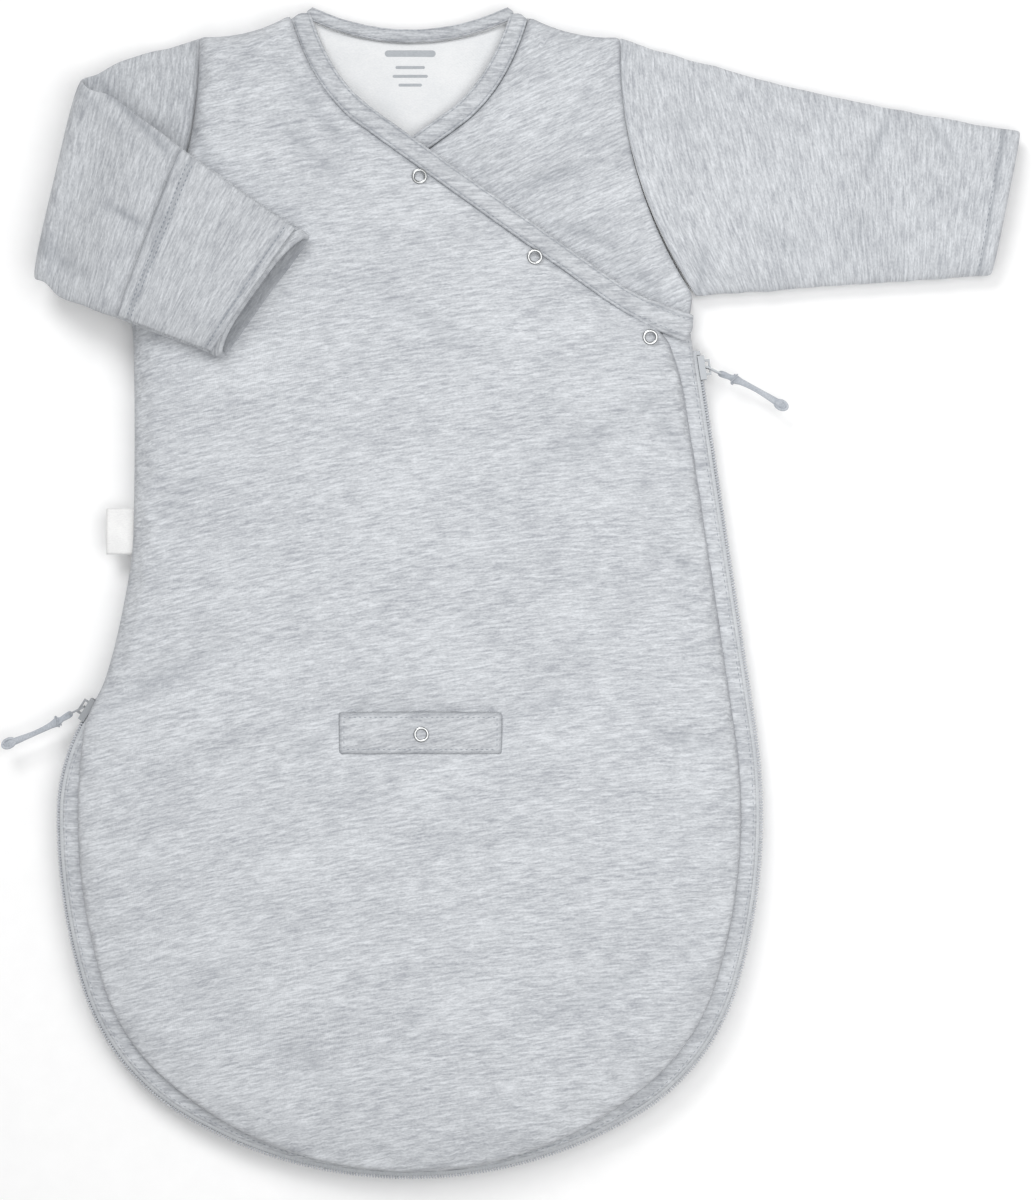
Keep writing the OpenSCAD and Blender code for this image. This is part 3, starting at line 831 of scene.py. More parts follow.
def pucker(loop, reach, depth, seed):
    """Small dents that run in from a sewn edge."""
    def dents(x, y):
        away, along, _ = nearest(np.column_stack([x, y]), loop)
        ripple = 0.5 + 0.5 * wobble(along / 15.0, away / 70.0, 1.0, seed, 1)
        return -depth * np.exp(-away / reach) * ripple * smoothstep(1, 7, away)
    return dents


# Soft creases in the cloth: start, end, depth and half width. A negative depth is a ridge.
BODY_CREASES = (
    ((118, 96), (146, 60), 0.9, 7), ((125, 20), (148, 8), 1.0, 5),
    ((120, -70), (160, -82), 0.9, 6), ((-60, -85), (-38, -72), 0.8, 6),
    ((52, -60), (92, -48), 0.7, 8), ((-100, -30), (-150, -60), 1.0, 8),
    ((60, 60), (118, 92), 0.8, 11), ((-20, 150), (40, 120), 0.7, 12),
    ((-128, 40), (-100, 60), 0.8, 8), ((-90, -210), (-40, -250), 0.7, 12),
    ((70, -215), (120, -190), 0.8, 11), ((-62, 262), (-30, 222), 1.3, 6),
    ((-70, 240), (-34, 206), 1.0, 6), ((-108, 232), (-96, 196), 1.0, 6),
)
CHEST_CREASES = (
    ((52, 203), (92, 216), 1.6, 4.5), ((70, 188), (104, 176), 1.1, 6),
    ((96, 232), (126, 214), 0.9, 7), ((128, 150), (108, 168), 0.9, 6),
)
SLEEVE_CREASES = (
    ((246, 246), (232, 212), 1.7, 4.2), ((262, 243), (277, 221), 1.2, 5),
    ((253, 246), (250, 226), -0.7, 5), ((151, 178), (147, 148), 1.5, 4.5),
    ((176, 186), (204, 170), 0.9, 7), ((268, 205), (288, 192), 0.7, 6),
    ((126, 232), (152, 246), 0.7, 7), ((232, 196), (228, 168), 0.7, 6),
    ((-164, 264), (-114, 214), 1.9, 5), ((-172, 258), (-126, 212), -0.8, 5),
    ((-200, 250), (-178, 234), 1.2, 5), ((-152, 195), (-132, 182), 1.9, 4),
    ((-206, 192), (-176, 170), 1.3, 7), ((-120, 205), (-128, 172), 0.9, 6),
    ((-214, 234), (-192, 204), 1.1, 8), ((-196, 176), (-160, 158), 1.1, 6),
)


def creases(x, y, lines):
    """The height change that soft grooves along straight lines make."""
    total = np.zeros(np.shape(x))
    points = np.column_stack([np.ravel(x), np.ravel(y)])
    for a, b, depth, width in lines:
        a, b = np.array(a, float), np.array(b, float)
        t = np.clip(((points - a) @ (b - a)) / ((b - a) @ (b - a)), 0, 1)
        away = np.linalg.norm(points - (a + t[:, None] * (b - a)), axis=1)
        ends = np.sin(math.pi * np.clip(t, 0.04, 0.96)) ** 0.5
        total -= (depth * ends * bell(away, width)).reshape(np.shape(x))
    return total


def crease_shade(x, y, lines):
    """How much each crease's bottom is shaded, from 0 to 1."""
    narrow = [(a, b, min(abs(depth), 2) / 2.6, max(width * 0.5, 2.4))
              for a, b, depth, width in lines]
    return -creases(x, y, narrow)


# ---- Front panel --------------------------------------------------------------------------------

def front_bulge(loop):
    """The front's soft waviness, held down round the patch over the slot."""
    dents = pucker(loop, 14, 1.7, 3.0)
    low, high = node_box("slot_flap")

    def bulge(x, y):
        soft = 1.1 * wobble(x, y, 95, 1.0) + 0.45 * wobble(x, y, 34, 2.0)
        rise = soft + 2.0 * creases(x, y, BODY_CREASES) + dents(x, y)
        in_x = np.clip(np.maximum(low[0] - x, x - high[0]), 0, None)
        in_y = np.clip(np.maximum(low[1] - y, y - high[1]), 0, None)
        free = smoothstep(1, 30, np.hypot(in_x, in_y))
        return rise * free - 0.1 * (1 - free)
    return bulge


def build_front():
    """The whole front: jersey outside, white lining inside, slot cut through."""
    loop = smooth_loop(join_at_fold("front_side_shell", "front_shell"), 4.0)
    slot = smooth_loop(top_loops("front_shell")[1][::-1], 3.0)
    edge = seam_heights(SEAM_Z, 13, (near(loop, ZIP_OUTER, ZIP_REACH), STRIP_Z + 1.0),
                        (near(loop, WRAP_LOW, 3), 22.0), (near(loop, LEFT_ARMHOLE, 3), 16.6))
    obj = padded("front_panel", loop, edge, FRONT_LOW + 0.2, FRONT_TOP + 1.2, [JERSEY, LINING],
                 front_bulge(loop), grain_turn=8.5, grain_bow=0.00033, holes=[slot],
                 spacing=4.9, shaded=BODY_CREASES)
    plump(obj, loop, pressure=2.2, cap=2.2)
    return finish_panel(obj, FOLD, layers("front", "front_side"))


# ---- Back panel and the under layer of the chest ------------------------------------------------

def build_back():
    """The back: jersey underneath, white lining above, flat where it rests."""
    loop = smooth_loop(top_loops("back_shell")[0], 4.0)
    slot = smooth_loop(top_loops("back_shell")[1][::-1], 3.0)
    neck_half = node_points("back_neck_binding")[:, 0].max()
    edge = seam_heights(SEAM_Z - 0.7, 9, (near(loop, ZIP_OUTER, ZIP_REACH), BACK_TOP - 0.4),
                        (near(loop, ARMHOLE, 3) | near(loop, LEFT_ARMHOLE, 3), 5.0),
                        ((np.abs(loop[:, 0]) < neck_half) & (loop[:, 1] > 250), 6.0))
    obj = padded("back_panel", loop, edge, 0.0, BACK_TOP, [LINING, JERSEY],
                 lambda x, y: 0.7 * wobble(x, y, 60, 5.0) - 0.5, grain_turn=2.0,
                 radius=(12, 8), holes=[slot])
    return finish_panel(obj, "bag", layers("back"))


def under_bulge(loop):
    """The under layer swells only where the wrap doesn't lie on it."""
    dents = pucker(loop, 12, 2.0, 8.0)

    def bulge(x, y):
        points = np.column_stack([x, y])
        away, _, index = nearest(points, WRAP_HIGH, closed=False)
        at = WRAP_HIGH[np.clip(index.astype(int), 0, len(WRAP_HIGH) - 1)]
        outside = (points[:, 0] - at[:, 0]) * 0.57 + (points[:, 1] - at[:, 1]) * 0.82 > 0
        free = smoothstep(2, 26, away) * outside
        free = free * smoothstep(WRAP_HIGH[-1, 1] + 2, WRAP_HIGH[-1, 1] + 16, y)
        return free * (4.2 + 1.2 * wobble(x, y, 50, 6.0) + dents(x, y)
                       + creases(x, y, CHEST_CREASES))
    return bulge


def build_under_front():
    """The other half of the wrap, which shows at the chest."""
    loop = smooth_loop(top_loops("under_front_shell")[0], 4.0)
    edge = seam_heights(SEAM_Z, 7, (near(loop, ARMHOLE, 3), 16.4),
                        *[(near(loop, side, 2), 13.2) for side in UNDER_EDGE_SIDES])
    obj = padded("under_front", loop, edge, UNDER_LOW, UNDER_TOP, [JERSEY, LINING],
                 under_bulge(loop), grain_turn=24.0, radius=(5, 11), spacing=4.0,
                 shaded=CHEST_CREASES)
    plump(obj, loop, pressure=1.6, cap=0.9)
    finish_panel(obj, "bag", layers("under_front"))


# ---- Bindings -----------------------------------------------------------------------------------

BINDING_AROUND = 36
BINDING_POWER = 2.7


def middle(side_a, side_b, step=2.5):
    """The path midway between two sides of a band."""
    want = np.linspace(0, 1, max(len(side_a), len(side_b)))
    ends = [places_at(want, np.linspace(0, 1, len(side)), side) for side in (side_a, side_b)]
    return spline((ends[0] + ends[1]) / 2, step)


def extended(path, by, by_top=None):
    """A path carried on straight at both ends, by another length at its higher end."""
    path = spline(path, 2.0)
    t = tangents(path)
    if path[0, 1] < path[-1, 1]:
        path, t = path[::-1], -t[::-1]
    return np.vstack([path[0] - (by_top or by) * t[0], path, path[-1] + by * t[-1]])


def rising(path, start, level, reach):
    """Heights that climb from a start height to a level over the first stretch of a path."""
    return start + (level - start) * smoothstep(0, reach, distances(path))


def build_binding(name, path, z, width, thick, nodes, seed, body="bag", flare=0.0):
    """A folded strip of jersey sewn over an edge, with a row of stitches on each side.

    flare is how much wider the strip gets towards its end.
    """
    far = distances(path)
    fine = spline(with_height(path, z), 1.6)
    ripple = np.interp(np.linspace(0, 1, len(fine)), np.linspace(0, 1, len(far)),
                       1 + 0.045 * wobble(far, far * 0, 11.0, seed))
    widening = smoothstep(far[-1] - 42, far[-1] - 12, np.linspace(0, far[-1], len(fine)))
    width = width * (1 + flare * widening)
    band = Piece()
    band.add(*sweep(fine, width * ripple, thick * ripple, around=BINDING_AROUND,
                    power=BINDING_POWER, groove=0.16))
    obj = band.build(name, TRIM)
    across, rise = section(BINDING_AROUND, BINDING_POWER)
    # Painted shade in the two grooves where the stitches run.
    paint_shade(obj, np.tile(0.55 * (rise > 0) * bell(np.abs(across) - STITCH_LINE, 0.08), len(fine)))
    height = surface(obj)
    inset = STITCH_LINE / 2 * width[0]
    rows = [offset_path(spline(path, 2.0), side * inset)[2:-2] for side in (1, -1)]
    sew(name + "_stitches", [lay_on(height, row, default=float(np.mean(z))) for row in rows], body)
    place(obj, body, "jersey_trim", *nodes)


def build_bindings():
    """The bindings of the wrap, of the under layer's edge and of the back of the neck."""
    path = middle(WRAP_LOW, WRAP_HIGH)[:-1]
    width = float(np.linalg.norm(WRAP_LOW[40] - WRAP_HIGH[40]))
    level = 23.6
    z = rising(path, 13, level, 60) - (level - rising(path[::-1], 21.4, level, 22)[::-1])
    build_binding("wrap_edge_binding", path, z, width, 5.6, ["wrap_binding", "wrap_binding_side"],
                  11.0, body=FOLD, flare=0.28)
    path = middle(*UNDER_EDGE_SIDES)
    path = path if path[0, 1] > path[-1, 1] else path[::-1]
    build_binding("under_edge_binding", path, rising(path, 12, 14.4, 40), width * 0.92, 4.6,
                  ["under_front_binding"], 12.0)
    path = middle(*[spline(side, 2.0) for side in band_sides("back_neck_binding")])
    path = spline(extended(path, 4.0), 2.5)
    from_middle = np.abs(np.linspace(-1, 1, len(path)))
    build_binding("back_neck_edge_binding", path, 8.2 + 3.0 * from_middle ** 3, 6.6, 5.0,
                  ["back_neck_binding"], 13.0)


# ---- Zip: facing strips, tapes and coils --------------------------------------------------------

COIL_PITCH = 1.44
BAG_MIDDLE = [0, -110]


def loft(inner, outer, dome, thickness, across=9):
    """A thin closed band between two 3-D paths of equal length, domed across its width."""
    rings = []
    for a, b in zip(inner, outer):
        top = []
        for k in range(across + 1):
            t = k / across
            p = a * (1 - t) + b * t
            p[2] += dome * math.sin(math.pi * t ** 0.8)
            top.append(p)
        bottom = [p - [0, 0, thickness * (0.35 + 0.65 * math.sin(math.pi * k / across))]
                  for k, p in enumerate(top)][::-1]
        rings.append(top + bottom)
    around = len(rings[0])
    return np.array(rings).reshape(-1, 3), capped_tube(len(rings), around), around


def matched(outer, inner, step=1.6):
    """The outer path resampled, and the point of the inner path opposite each of its points."""
    outer = spline(outer, step)
    _, along, _ = nearest(outer, inner, closed=False)
    along = np.convolve(np.pad(along, 6, "edge"), np.ones(13) / 13, "valid")
    return outer, places_at(along, distances(inner), inner)


def build_strip(name, z_inner, z_outer, body, seed, *nodes):
    """The jersey facing beside the zip. The front one has topstitching next to the coil."""
    outer, inner = matched(*[extended(s, 8.5, 17) for s in band_sides("back_strip")])
    a, b = with_height(inner, z_inner), with_height(outer, z_outer)
    far = distances(outer)
    b[:, 2] += 0.25 * wobble(far, far * 0, 16.0, seed)
    from_top = outer[:, 1].max() - outer[:, 1]
    up = 1 if body == FOLD else -1
    if body == FOLD:
        rise = smoothstep(-26, 0, -from_top)
        a[:, 2] += 3.4 * rise
        b[:, 2] += 2.2 * rise
    widening = 13.0 * smoothstep(-38, -12, -from_top)
    across = inner - outer
    a[:, :2] += (widening / np.linalg.norm(across, axis=1))[:, None] * across
    points, faces, _ = loft(a, b, 0.9 * up, 0.9 * up)
    band = Piece()
    band.add(points, faces if up > 0 else [f[::-1] for f in faces])
    obj = band.build(name, JERSEY)
    if body == FOLD:
        row = outer[3:-3] * 0.84 + inner[3:-3] * 0.16
        sew(name + "_stitches", [lay_on(surface(obj), row, default=z_outer)], body, 3.0, 2.2, 0.32)
    place(obj, body, "jersey_trim", *nodes)


def build_tape(name, z, body, *nodes):
    """The woven tape under the facing, showing as a thin edge beside the coil."""
    outer, inner = matched(*[extended(s, 3.0) for s in band_sides("zip_tape_back")])
    points, faces, around = loft(with_height(inner, z), with_height(outer, z), 0.0, 0.5, 3)
    band = Piece()
    band.add(points, faces, grain_along(outer, around, 2.0))
    place(band.build(name, TAPE), body, "zip_tape", *nodes)


def build_coil(name, z, body, start, *nodes):
    """One half of the coil: a row of nylon loops that begins a little way down the zip."""
    path = middle(ZIP_OUTER, ZIP_INNER, 1.0)
    if path[0, 1] < path[-1, 1]:
        path = path[::-1]
    far = distances(path)
    side = tangents(path)
    width = float(np.linalg.norm(ZIP_OUTER[50] - ZIP_INNER, axis=1).min())
    reach = np.linspace(-0.5, 0.5, 6) * width
    rise = 0.55 * np.sin(np.linspace(0, math.pi, 6))
    coil = Piece()
    for s in np.arange(start, far[-1] - 0.5, COIL_PITCH):
        at, t = places_at(s, far, path), places_at(s, far, side)
        out = np.array([t[1], -t[0]])
        if np.dot(out, at - BAG_MIDDLE) < 0:
            out = -out
        row = with_height(at + reach[:, None] * out + 0.16 * rise[:, None] * t,
                          z + (rise if body == FOLD else -rise))
        coil.add(*sweep(row, 1.0, 1.15, around=8, power=2.2, tip=0.9))
    place(coil.build(name, COIL), body, "zip_coil", *nodes)


def build_zip():
    """Both halves of the zip: facing, tape and coil."""
    build_strip("front_zip_facing", STRIP_Z + 0.3, STRIP_Z - 1.0, FOLD, 21.0,
                "front_strip", "front_side_strip")
    build_strip("back_zip_facing", BACK_TOP + 0.1, BACK_TOP + 0.9, "bag", 22.0, "back_strip")
    build_tape("front_zip_tape", node_levels("zip_tape_front")[1], FOLD,
               "zip_tape_front", "zip_tape_front_side")
    build_tape("back_zip_tape", node_levels("zip_tape_back")[1], "bag", "zip_tape_back")
    front, back = node_points("zip_coil_front"), node_points("zip_coil_back")
    build_coil("front_zip_coil", sum(node_levels("zip_coil_front")) / 2 - 0.1, FOLD,
               back[:, 1].max() - front[:, 1].max(), "zip_coil_front", "zip_coil_front_side")
    build_coil("back_zip_coil", sum(node_levels("zip_coil_back")) / 2 + 0.1, "bag",
               COIL_PITCH / 2, "zip_coil_back")


# ---- Sleeves ------------------------------------------------------------------------------------

ACROSS = 42  # points over a sleeve's width
WALL = 3.4  # the thickness of a sleeve's padded wall
HEM = 6.6  # from a cuff's end to its stitches
ROW_STEP = 2.8
START = -1.6  # how far a sleeve runs past the armhole seam, into the body
ARMHOLE_MID, ARMHOLE_HALF = 10.4, 6.4

# One ring of a sleeve: line gives the plan points for u from 0 to 1, mid is its middle height,
# half its half thickness, normal the (outward, up) direction of its thickness, out the
# outward direction in plan, relief its surface detail, and along the distance down the sleeve.
Ring = namedtuple("Ring", "line mid half normal out relief along")


class Patch:
    """A four-sided plan outline as a surface: v runs away from its first side, u across."""

    def __init__(self, node, first_side_at):
        chains = split_at_corners(top_loops(node)[0])
        at = np.array(first_side_at, float)[:2]
        first = int(np.argmin([np.linalg.norm(c.mean(0) - at) for c in chains]))
        start, right, end, left = [chains[(first + k) % 4] for k in range(4)]
        self.start, self.end = self.even(start), self.even(end[::-1])
        self.low, self.high = self.even(left[::-1]), self.even(right)
        self.length = path_length(self.high) / 2 + path_length(self.low) / 2

    @staticmethod
    def even(path, count=240):
        """A path's points, evenly spaced."""
        far = distances(path)
        return places_at(np.linspace(0, far[-1], count), far, path)

    def flip(self):
        """Turns u round."""
        self.start, self.end = self.start[::-1], self.end[::-1]
        self.low, self.high = self.high, self.low

    def width(self):
        return np.linalg.norm(self.end[-1] - self.end[0])

    def at(self, u, v):
        """The plan point at (u, v). Past an end, v carries on straight."""
        def pick(path, t):
            return places_at(t, np.linspace(0, 1, len(path)), path)
        u, v = np.broadcast_arrays(np.asarray(u, float), np.asarray(v, float))
        beyond = (v - np.clip(v, 0, 1))[..., None]
        if np.any(beyond):
            v = np.clip(v, 0, 1)
            near_by = np.where(v > 0.5, 0.94, 0.06)
            slope = (self.at(u, v) - self.at(u, near_by)) / (v - near_by)[..., None]
            return self.at(u, v) + slope * beyond
        U, V = u[..., None], v[..., None]
        s, e, lo, hi = self.start, self.end, self.low, self.high
        return ((1 - V) * pick(s, u) + V * pick(e, u) + (1 - U) * pick(lo, v) + U * pick(hi, v)
                - (1 - U) * (1 - V) * s[0] - (1 - U) * V * e[0]
                - U * (1 - V) * s[-1] - U * V * e[-1])


def ring_points(ring, inset):
    """The points round a flattened tube, and their shares of the width across it."""
    u = (1 - np.cos(np.linspace(0, math.pi, ACROSS))) / 2
    profile = np.clip(1 - np.abs(2 * u - 1) ** 3.2, 0, 1) ** 0.46
    plan = ring.line(u)
    centre = plan[ACROSS // 2]
    plan = plan + (plan - centre) * 0.016 * wobble(*centre, 16, 70.0)
    if inset > 0:
        centre = plan[ACROSS // 2]
        plan = centre + (plan - centre) * (1 - 2 * inset / np.linalg.norm(plan[-1] - plan[0]))
    outward, up = ring.normal
    rise = (ring.half - inset) * profile
    rows = []
    for sign, order in ((1, slice(None)), (-1, slice(-2, 0, -1))):
        z = ring.mid + sign * up * rise
        place_xy = plan + sign * outward * rise[:, None] * ring.out
        if ring.relief is not None and inset == 0:
            z = z + sign * ring.relief(plan, sign) * profile * up
        rows.append(np.column_stack([place_xy, z])[order])
    return np.vstack(rows), np.concatenate([u, 2 - u[-2:0:-1]])


def sleeve(name, rings, cloth, fold_at=-100.0):
    """A padded double-walled tube with a rounded cuff edge, lined where its inside shows."""
    points, grain = [], []
    around = 2 * ACROSS - 2

    def add(ring, inset, shift=0.0):
        rows, shares = ring_points(ring, inset)
        rows[:, :2] += shift
        points.append(rows)
        ends = ring.line(np.array([1.0]))[0] - ring.line(np.array([0.0]))[0]
        grain.append(np.column_stack([shares * np.linalg.norm(ends),
                                      np.full(around, ring.along), np.zeros(around)]))
    last = rings[-1]
    end = last.along
    for ring in rings:
        dip = 0.35 * math.exp(-((end - ring.along - HEM) / 1.2) ** 2)
        add(ring._replace(half=ring.half - dip), 0.0)
    tip = last.line(np.array([0.5]))[0] - rings[-2].line(np.array([0.5]))[0]
    tip = tip / max(np.linalg.norm(tip), 1e-9)
    for depth, past in ((0.2, 1.0), (0.5, 1.35), (0.8, 1.0)):
        add(last, WALL * depth, tip * past)
    for ring in rings[::-1]:
        add(ring, WALL)
    count = len(points)
    lined = [0] * (count - len(rings)) + [int(end - ring.along > 14
                                              and abs(ring.along - fold_at) > 30)
                                          for ring in rings[::-1]]
    points, grain = np.vstack(points), np.vstack(grain)
    obj = make_piece(name, points, tube_faces(count, around, joined=True), [cloth, LINING],
                     np.repeat(lined, around), grain)
    along = grain[:, 1]
    # Painted shade: inside the cuff near its opening, at crease bottoms, at the armhole seam and in
    # the hem's stitch groove.
    within = np.repeat(np.arange(count) > len(rings) + 1, around)
    lines = crease_shade(points[:, 0], points[:, 1], SLEEVE_CREASES)
    paint_shade(obj, np.where(within, 0.6 * bell(along - end, 30),
                         lines + 0.32 * bell(along - along.min(), 1.5)
                         + 0.8 * bell(along - end + HEM, 1.1)))
    recalculate_normals(obj)
    return obj


def sleeve_relief(seed, seam):
    """Waviness, creases and seam puckers on a sleeve."""
    def relief(plan, sign):
        x, y = plan[:, 0], plan[:, 1]
        soft = 0.9 * wobble(x, y, 48, seed + sign) + 0.45 * wobble(x, y, 17, seed + 5 * sign)
        away, along, _ = nearest(plan, seam, closed=False)
        ripple = np.abs(wobble(along / 8, away / 50, 1.0, seed + 3))
        grooves = (2.4 * creases(x, y, SLEEVE_CREASES) - 1.8 * np.exp(-away / 9) * ripple)
        deepest = 2.3
        return np.clip(soft, -0.7, 1.0) + deepest * np.tanh(grooves / deepest)
    return relief


def cuff_end(patch, hem_node):
    """How far a tube runs past its forearm's end, as v, to include the hem."""
    chains = split_at_corners(top_loops(hem_node)[0])
    depth = np.mean(sorted(path_length(c) for c in chains)[:2])
    return 1 + depth / patch.length


def elbow(name):
    """A joint's place, in millimetres, and its axis."""
    joint = JOINTS[name]
    return np.array(joint["pos_m"]) / METRE, np.array(joint["axis"], float)


def rows_between(start, end, step):
    return np.linspace(start, end, max(3, int(abs(end - start) / step)))


def rows_to_cuff(start, end, length):
    """Rows along a forearm, closer together where its hem is stitched."""
    change = end - 13 / length
    return np.concatenate([rows_between(start, change, ROW_STEP / length)[:-1],
                           rows_between(change, end, 1.0 / length)])


def growth(away):
    """A sleeve's middle height and half thickness this far from its armhole seam."""
    grow = rounded(max(away, 0), 13.0)
    return (ARMHOLE_MID + (SLEEVE_MID - ARMHOLE_MID) * grow,
            ARMHOLE_HALF + (SLEEVE_HALF - ARMHOLE_HALF) * grow)


def finish_sleeve(obj, side, start, end):
    """Smooths and places a sleeve, and returns its height. start and end are not used."""
    subdivide(obj)
    height = surface(obj)
    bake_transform(obj)
    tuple(start)
    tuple(end)
    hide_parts(*layers(side + "_upper_sleeve", side + "_forearm"), side + "_cuff_hem")
    return height


def build_right_sleeve():
    """The right sleeve lies straight and bends at the elbow."""
    pivot, axis = elbow("right_elbow")
    upper = Patch("right_upper_sleeve_shell", ARMHOLE.mean(0))
    lower = Patch("right_forearm_shell", pivot)
    relief = sleeve_relief(31.0, ARMHOLE)
    rings = []
    for v in rows_between(START / upper.length, 0.97, ROW_STEP / upper.length):
        along = v * upper.length
        rings.append(Ring(lambda u, v=v: upper.at(u, v), *growth(along), (0, 1), 0.0, relief,
                          along))
    for v in rows_to_cuff(0.03, cuff_end(lower, "right_cuff_hem"), lower.length):
        rings.append(Ring(lambda u, v=v: lower.at(u, v), SLEEVE_MID, SLEEVE_HALF, (0, 1), 0.0,
                          relief, upper.length + v * lower.length))
    obj = sleeve("right_sleeve", rings, JERSEY)
    across = np.array([-axis[1], axis[0], 0])
    across *= np.sign(across[0])
    bend = 11 * across
    return lower, finish_sleeve(obj, "right", (pivot - bend) * METRE, (pivot + bend) * METRE)


def tucked(line, distance):
    """Narrows a sleeve's line a little near the fold, which rounds the fold's corners."""
    share = 1 - 0.085 * (1 - smoothstep(-2, 13, distance)) ** 1.5

    def narrower(u):
        plan = line(u)
        centre = plan.mean(0)
        return centre + (plan - centre) * share
    return narrower


FOLD_RADIUS, FOLD_SET_BACK, FOLD_HALF = 6.2, 9.0, 3.4  # of the left sleeve's fold


def build_left_sleeve():
    """The left sleeve is folded over at the elbow, so its forearm lies on the chest."""
    pivot, axis = elbow("left_elbow")
    upper = Patch("left_upper_sleeve_shell", LEFT_ARMHOLE.mean(0))
    lower = Patch("left_forearm_shell", pivot)
    meeting = upper.at(0.0, 1.0)
    if (np.linalg.norm(lower.at(0.0, 0.0) - meeting)
            > np.linalg.norm(lower.at(1.0, 0.0) - meeting)):
        lower.flip()
    relief = sleeve_relief(41.0, LEFT_ARMHOLE)
    turn_z = pivot[2]
    out = np.array([axis[1], -axis[0]])
    out *= np.sign(-out[0])
    rings = []

    def pinched(value, at_fold, away):
        """A value that goes over to its value at the fold, close to the fold."""
        return at_fold + (value - at_fold) * smoothstep(FOLD_SET_BACK, 46, away)
    near_edge = 1 - FOLD_SET_BACK / upper.length
    for v in rows_between(START / upper.length, near_edge, ROW_STEP / upper.length):
        away = (1 - v) * upper.length
        mid, half = growth(v * upper.length)
        rings.append(Ring(tucked(lambda u, v=v: upper.at(u, v), away - FOLD_SET_BACK),
                          pinched(mid, turn_z - FOLD_RADIUS, away),
                          pinched(half, FOLD_HALF, away), (0, 1), out, relief,
                          v * upper.length))
    far_edge = FOLD_SET_BACK / lower.length
    for angle in np.linspace(0, math.pi, 11)[1:-1]:
        share = angle / math.pi

        def line(u, share=share, angle=angle):
            plan = upper.at(u, near_edge) * (1 - share) + lower.at(u, far_edge) * share
            return plan + out * FOLD_RADIUS * math.sin(angle)
        rings.append(Ring(tucked(line, -2.0 * math.sin(angle)),
                          turn_z - FOLD_RADIUS * math.cos(angle), FOLD_HALF,
                          (-math.sin(angle), math.cos(angle)), out, None,
                          upper.length - FOLD_SET_BACK * (1 - 2 * share)))
    level = 2 * turn_z - SLEEVE_MID
    for v in rows_to_cuff(far_edge, cuff_end(lower, "left_cuff_hem"), lower.length):
        away = v * lower.length
        rings.append(Ring(tucked(lambda u, v=v: lower.at(u, v), away - FOLD_SET_BACK),
                          pinched(level, turn_z + FOLD_RADIUS, away),
                          pinched(SLEEVE_HALF, FOLD_HALF, away), (0, -1), out, relief,
                          upper.length + away))
    obj = sleeve("left_sleeve", rings, SHADED_SLEEVE_JERSEY, fold_at=upper.length)
    shorten_top_rim(obj, lower, level, 5.5)
    bend = [(pivot[0] * METRE, pivot[1] * METRE, z) for z in (0.0192, 0.0258)]
    return lower, finish_sleeve(obj, "left", *bend)


def shorten_top_rim(obj, patch, level, amount):
    """Draws the upper rim of a cuff back from the lower one, so the opening shows."""
    rim = patch.at(0.5, cuff_end(patch, "left_cuff_hem"))
    inward_way = patch.at(0.5, 0.8) - rim
    inward_way /= np.linalg.norm(inward_way)
    side = np.array([-inward_way[1], inward_way[0]])
    for vertex in obj.data.vertices:
        at = np.array(vertex.co) / METRE
        if at[2] < level - 0.5:
            continue
        back_by = (at[:2] - rim) @ inward_way
        off = abs((at[:2] - rim) @ side) / (patch.width() / 2)
        pull = amount * (1 - smoothstep(0, 40, back_by)) * (1 - min(off, 1) ** 4)
        pull *= smoothstep(level - 0.5, level + 2, at[2])
        vertex.co.x += inward_way[0] * pull * METRE
        vertex.co.y += inward_way[1] * pull * METRE


# ---- Mitts and the right cuff's stitches --------------------------------------------------------

MITT_LENGTH = 66.0
MITT_ROWS, MITT_COLS = 44, 30
MITT_ROOM = (0.06, 0.94)  # the heights that the right mitt stays between, under its sleeve


